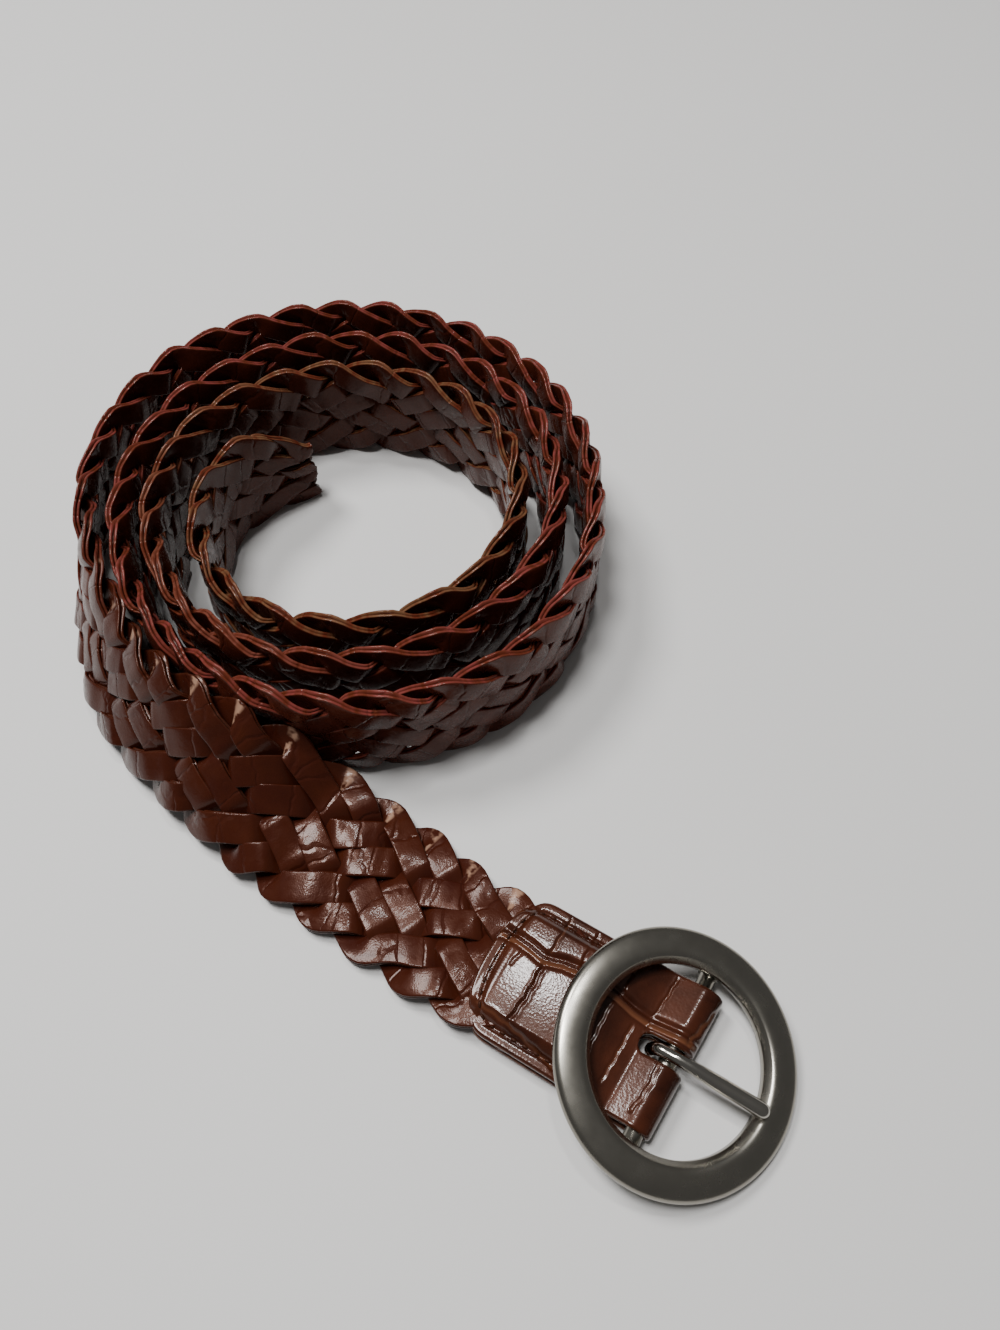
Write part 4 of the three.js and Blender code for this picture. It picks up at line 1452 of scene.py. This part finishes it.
BRAID_LEATHER = Leather(
    "braid leather", base=(0.088, 0.019, 0.009, 1), dark=(0.030, 0.006, 0.0035, 1),
    edge=(0.15, 0.031, 0.026, 1), worn_edge=(0.12, 0.055, 0.026, 1), roughness=0.26, coat=0.16,
    grain=260.0, plates=0.6, wrinkles=0.55, inner_painted_shade=0.6,
)
TAB_LEATHER = Leather(
    "tab leather", base=(0.052, 0.013, 0.0056, 1), dark=(0.019, 0.0045, 0.0022, 1),
    edge=(0.075, 0.024, 0.011, 1), worn_edge=(0.15, 0.055, 0.025, 1), roughness=0.06, coat=0.5,
    grain=190.0, plates=0.0, wrinkles=0.05, pore_depth=0.05, evenness=4.0,
)
THREAD = Leather(
    "waxed thread", base=(0.035, 0.012, 0.007, 1), dark=(0.02, 0.008, 0.005, 1),
    edge=(0.05, 0.02, 0.01, 1), worn_edge=(0.05, 0.02, 0.01, 1), roughness=0.4, coat=0.0,
    grain=900.0, plates=0.0,
)
SATIN_NICKEL = Metal("satin nickel", (0.30, 0.283, 0.245, 1), 0.26)
POLISHED_NICKEL = Metal("polished nickel", (0.42, 0.40, 0.36, 1), 0.14)


@dataclass
class Studio:
    """The floor, the lights and the camera."""

    floor_size: float = 4.0
    floor_light: tuple = (0.62, 0.61, 0.60, 1)
    floor_dark: tuple = (0.585, 0.575, 0.56, 1)
    sky: tuple = (1.0, 0.99, 0.98, 1)
    sky_strength: float = 0.14
    sensor: float = 36.0
    camera_place: tuple = (0.08147, -0.11459, 0.227)
    camera_turn: tuple = (32.0, 0.0, 30.6)
    lens: float = 27.07
    lights: tuple = field(default=(
        ("ceiling", (-0.25, -0.12, 1.4), 0.35, 15.0),
        ("bulb", (-0.08, 0.25, 1.25), 0.10, 3.0),
        ("window", (-0.9, 0.1, 1.4), 0.5, 22.0),
    ))

    def floor(self) -> None:
        """Lays the pale floor."""
        sheet = FinishSheet("floor")
        place = sheet.add("TexCoord").outputs["Object"]
        cloud = sheet.add("TexNoise", Vector=place, Scale=5.0, Detail=2.0)
        colour = sheet.mix(cloud.outputs[0], self.floor_dark, self.floor_light)
        sheet.put(sheet.surface, "Base Color", colour)
        sheet.put(sheet.surface, "Roughness", 0.6)
        half = self.floor_size / 2
        corners = np.array([(-half, -half, 0), (half, -half, 0), (half, half, 0), (-half, half, 0)])
        floor = MeshKit.build("floor", corners, [(0, 1, 2, 3)], sheet.material)
        floor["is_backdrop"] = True

    def light(self) -> None:
        """Hangs the lamps and sets the sky's brightness."""
        for name, place, size, power in self.lights:
            lamp = bpy.data.lights.new(name, "AREA")
            lamp.shape = "DISK"
            lamp.size = size
            lamp.energy = power
            hung = bpy.data.objects.new(name, lamp)
            bpy.context.scene.collection.objects.link(hung)
            hung.location = place
            away = np.array(place)
            hung.rotation_euler = (
                math.atan2(math.hypot(away[0], away[1]), away[2]), 0.0,
                math.atan2(away[1], away[0]) + math.pi / 2,
            )
        world = bpy.data.worlds.new("room")
        world.use_nodes = True
        sky = world.node_tree.nodes["Background"]
        sky.inputs["Color"].default_value = self.sky
        sky.inputs["Strength"].default_value = self.sky_strength
        bpy.context.scene.world = world

    def camera(self) -> None:
        """Stands the camera where the photograph was taken."""
        data = bpy.data.cameras.new("camera")
        data.lens = self.lens
        data.sensor_width = self.sensor
        camera = bpy.data.objects.new("camera", data)
        bpy.context.scene.collection.objects.link(camera)
        camera.location = self.camera_place
        camera.rotation_euler = tuple(math.radians(angle) for angle in self.camera_turn)
        bpy.context.scene.camera = camera


def write_sizes(visual: tuple) -> None:
    """Takes the box of the dressed model, and writes nothing.

    Args:
        visual: The box of the dressed model. Not used.
    """
    def plain(box: tuple) -> list:
        return [[float(number) for number in corner] for corner in box]


def main() -> None:
    """Builds the belt and its studio."""
    logging.basicConfig(level=logging.INFO, format="%(name)s: %(message)s")
    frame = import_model()
    pivot = next(joint for joint in frame["joints"] if joint["name"] == "buckle_pivot")
    bar = Bar(np.array(pivot["pos_m"], dtype=float))
    route = BraidRoute(bar)
    LOG.info("the braid is %.1f mm long", route.total / MM)
    leather = BRAID_LEATHER.material()
    strips = Braid(route).weave(leather)
    for strip in strips:
        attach(strip, "belt")
        LOG.info("%s has %d faces", strip.name, len(strip.data.polygons))
    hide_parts(*BRAID_NODES)
    folded = Tab(bar)
    tab = folded.piece(TAB_LEATHER.material())
    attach(tab, "belt")
    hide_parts("buckle_tab")
    stitches = folded.stitches(THREAD.material())
    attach(stitches, "belt")
    buckle = Buckle(bar)
    ring = buckle.ring(SATIN_NICKEL.material())
    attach(ring, "buckle")
    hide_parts("buckle_ring")
    prong = buckle.prong(POLISHED_NICKEL.material())
    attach(prong, "prong")
    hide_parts("buckle_prong")
    studio = Studio()
    studio.floor()
    studio.light()
    studio.camera()
    write_sizes(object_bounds())


if __name__ == "__main__":
    main()
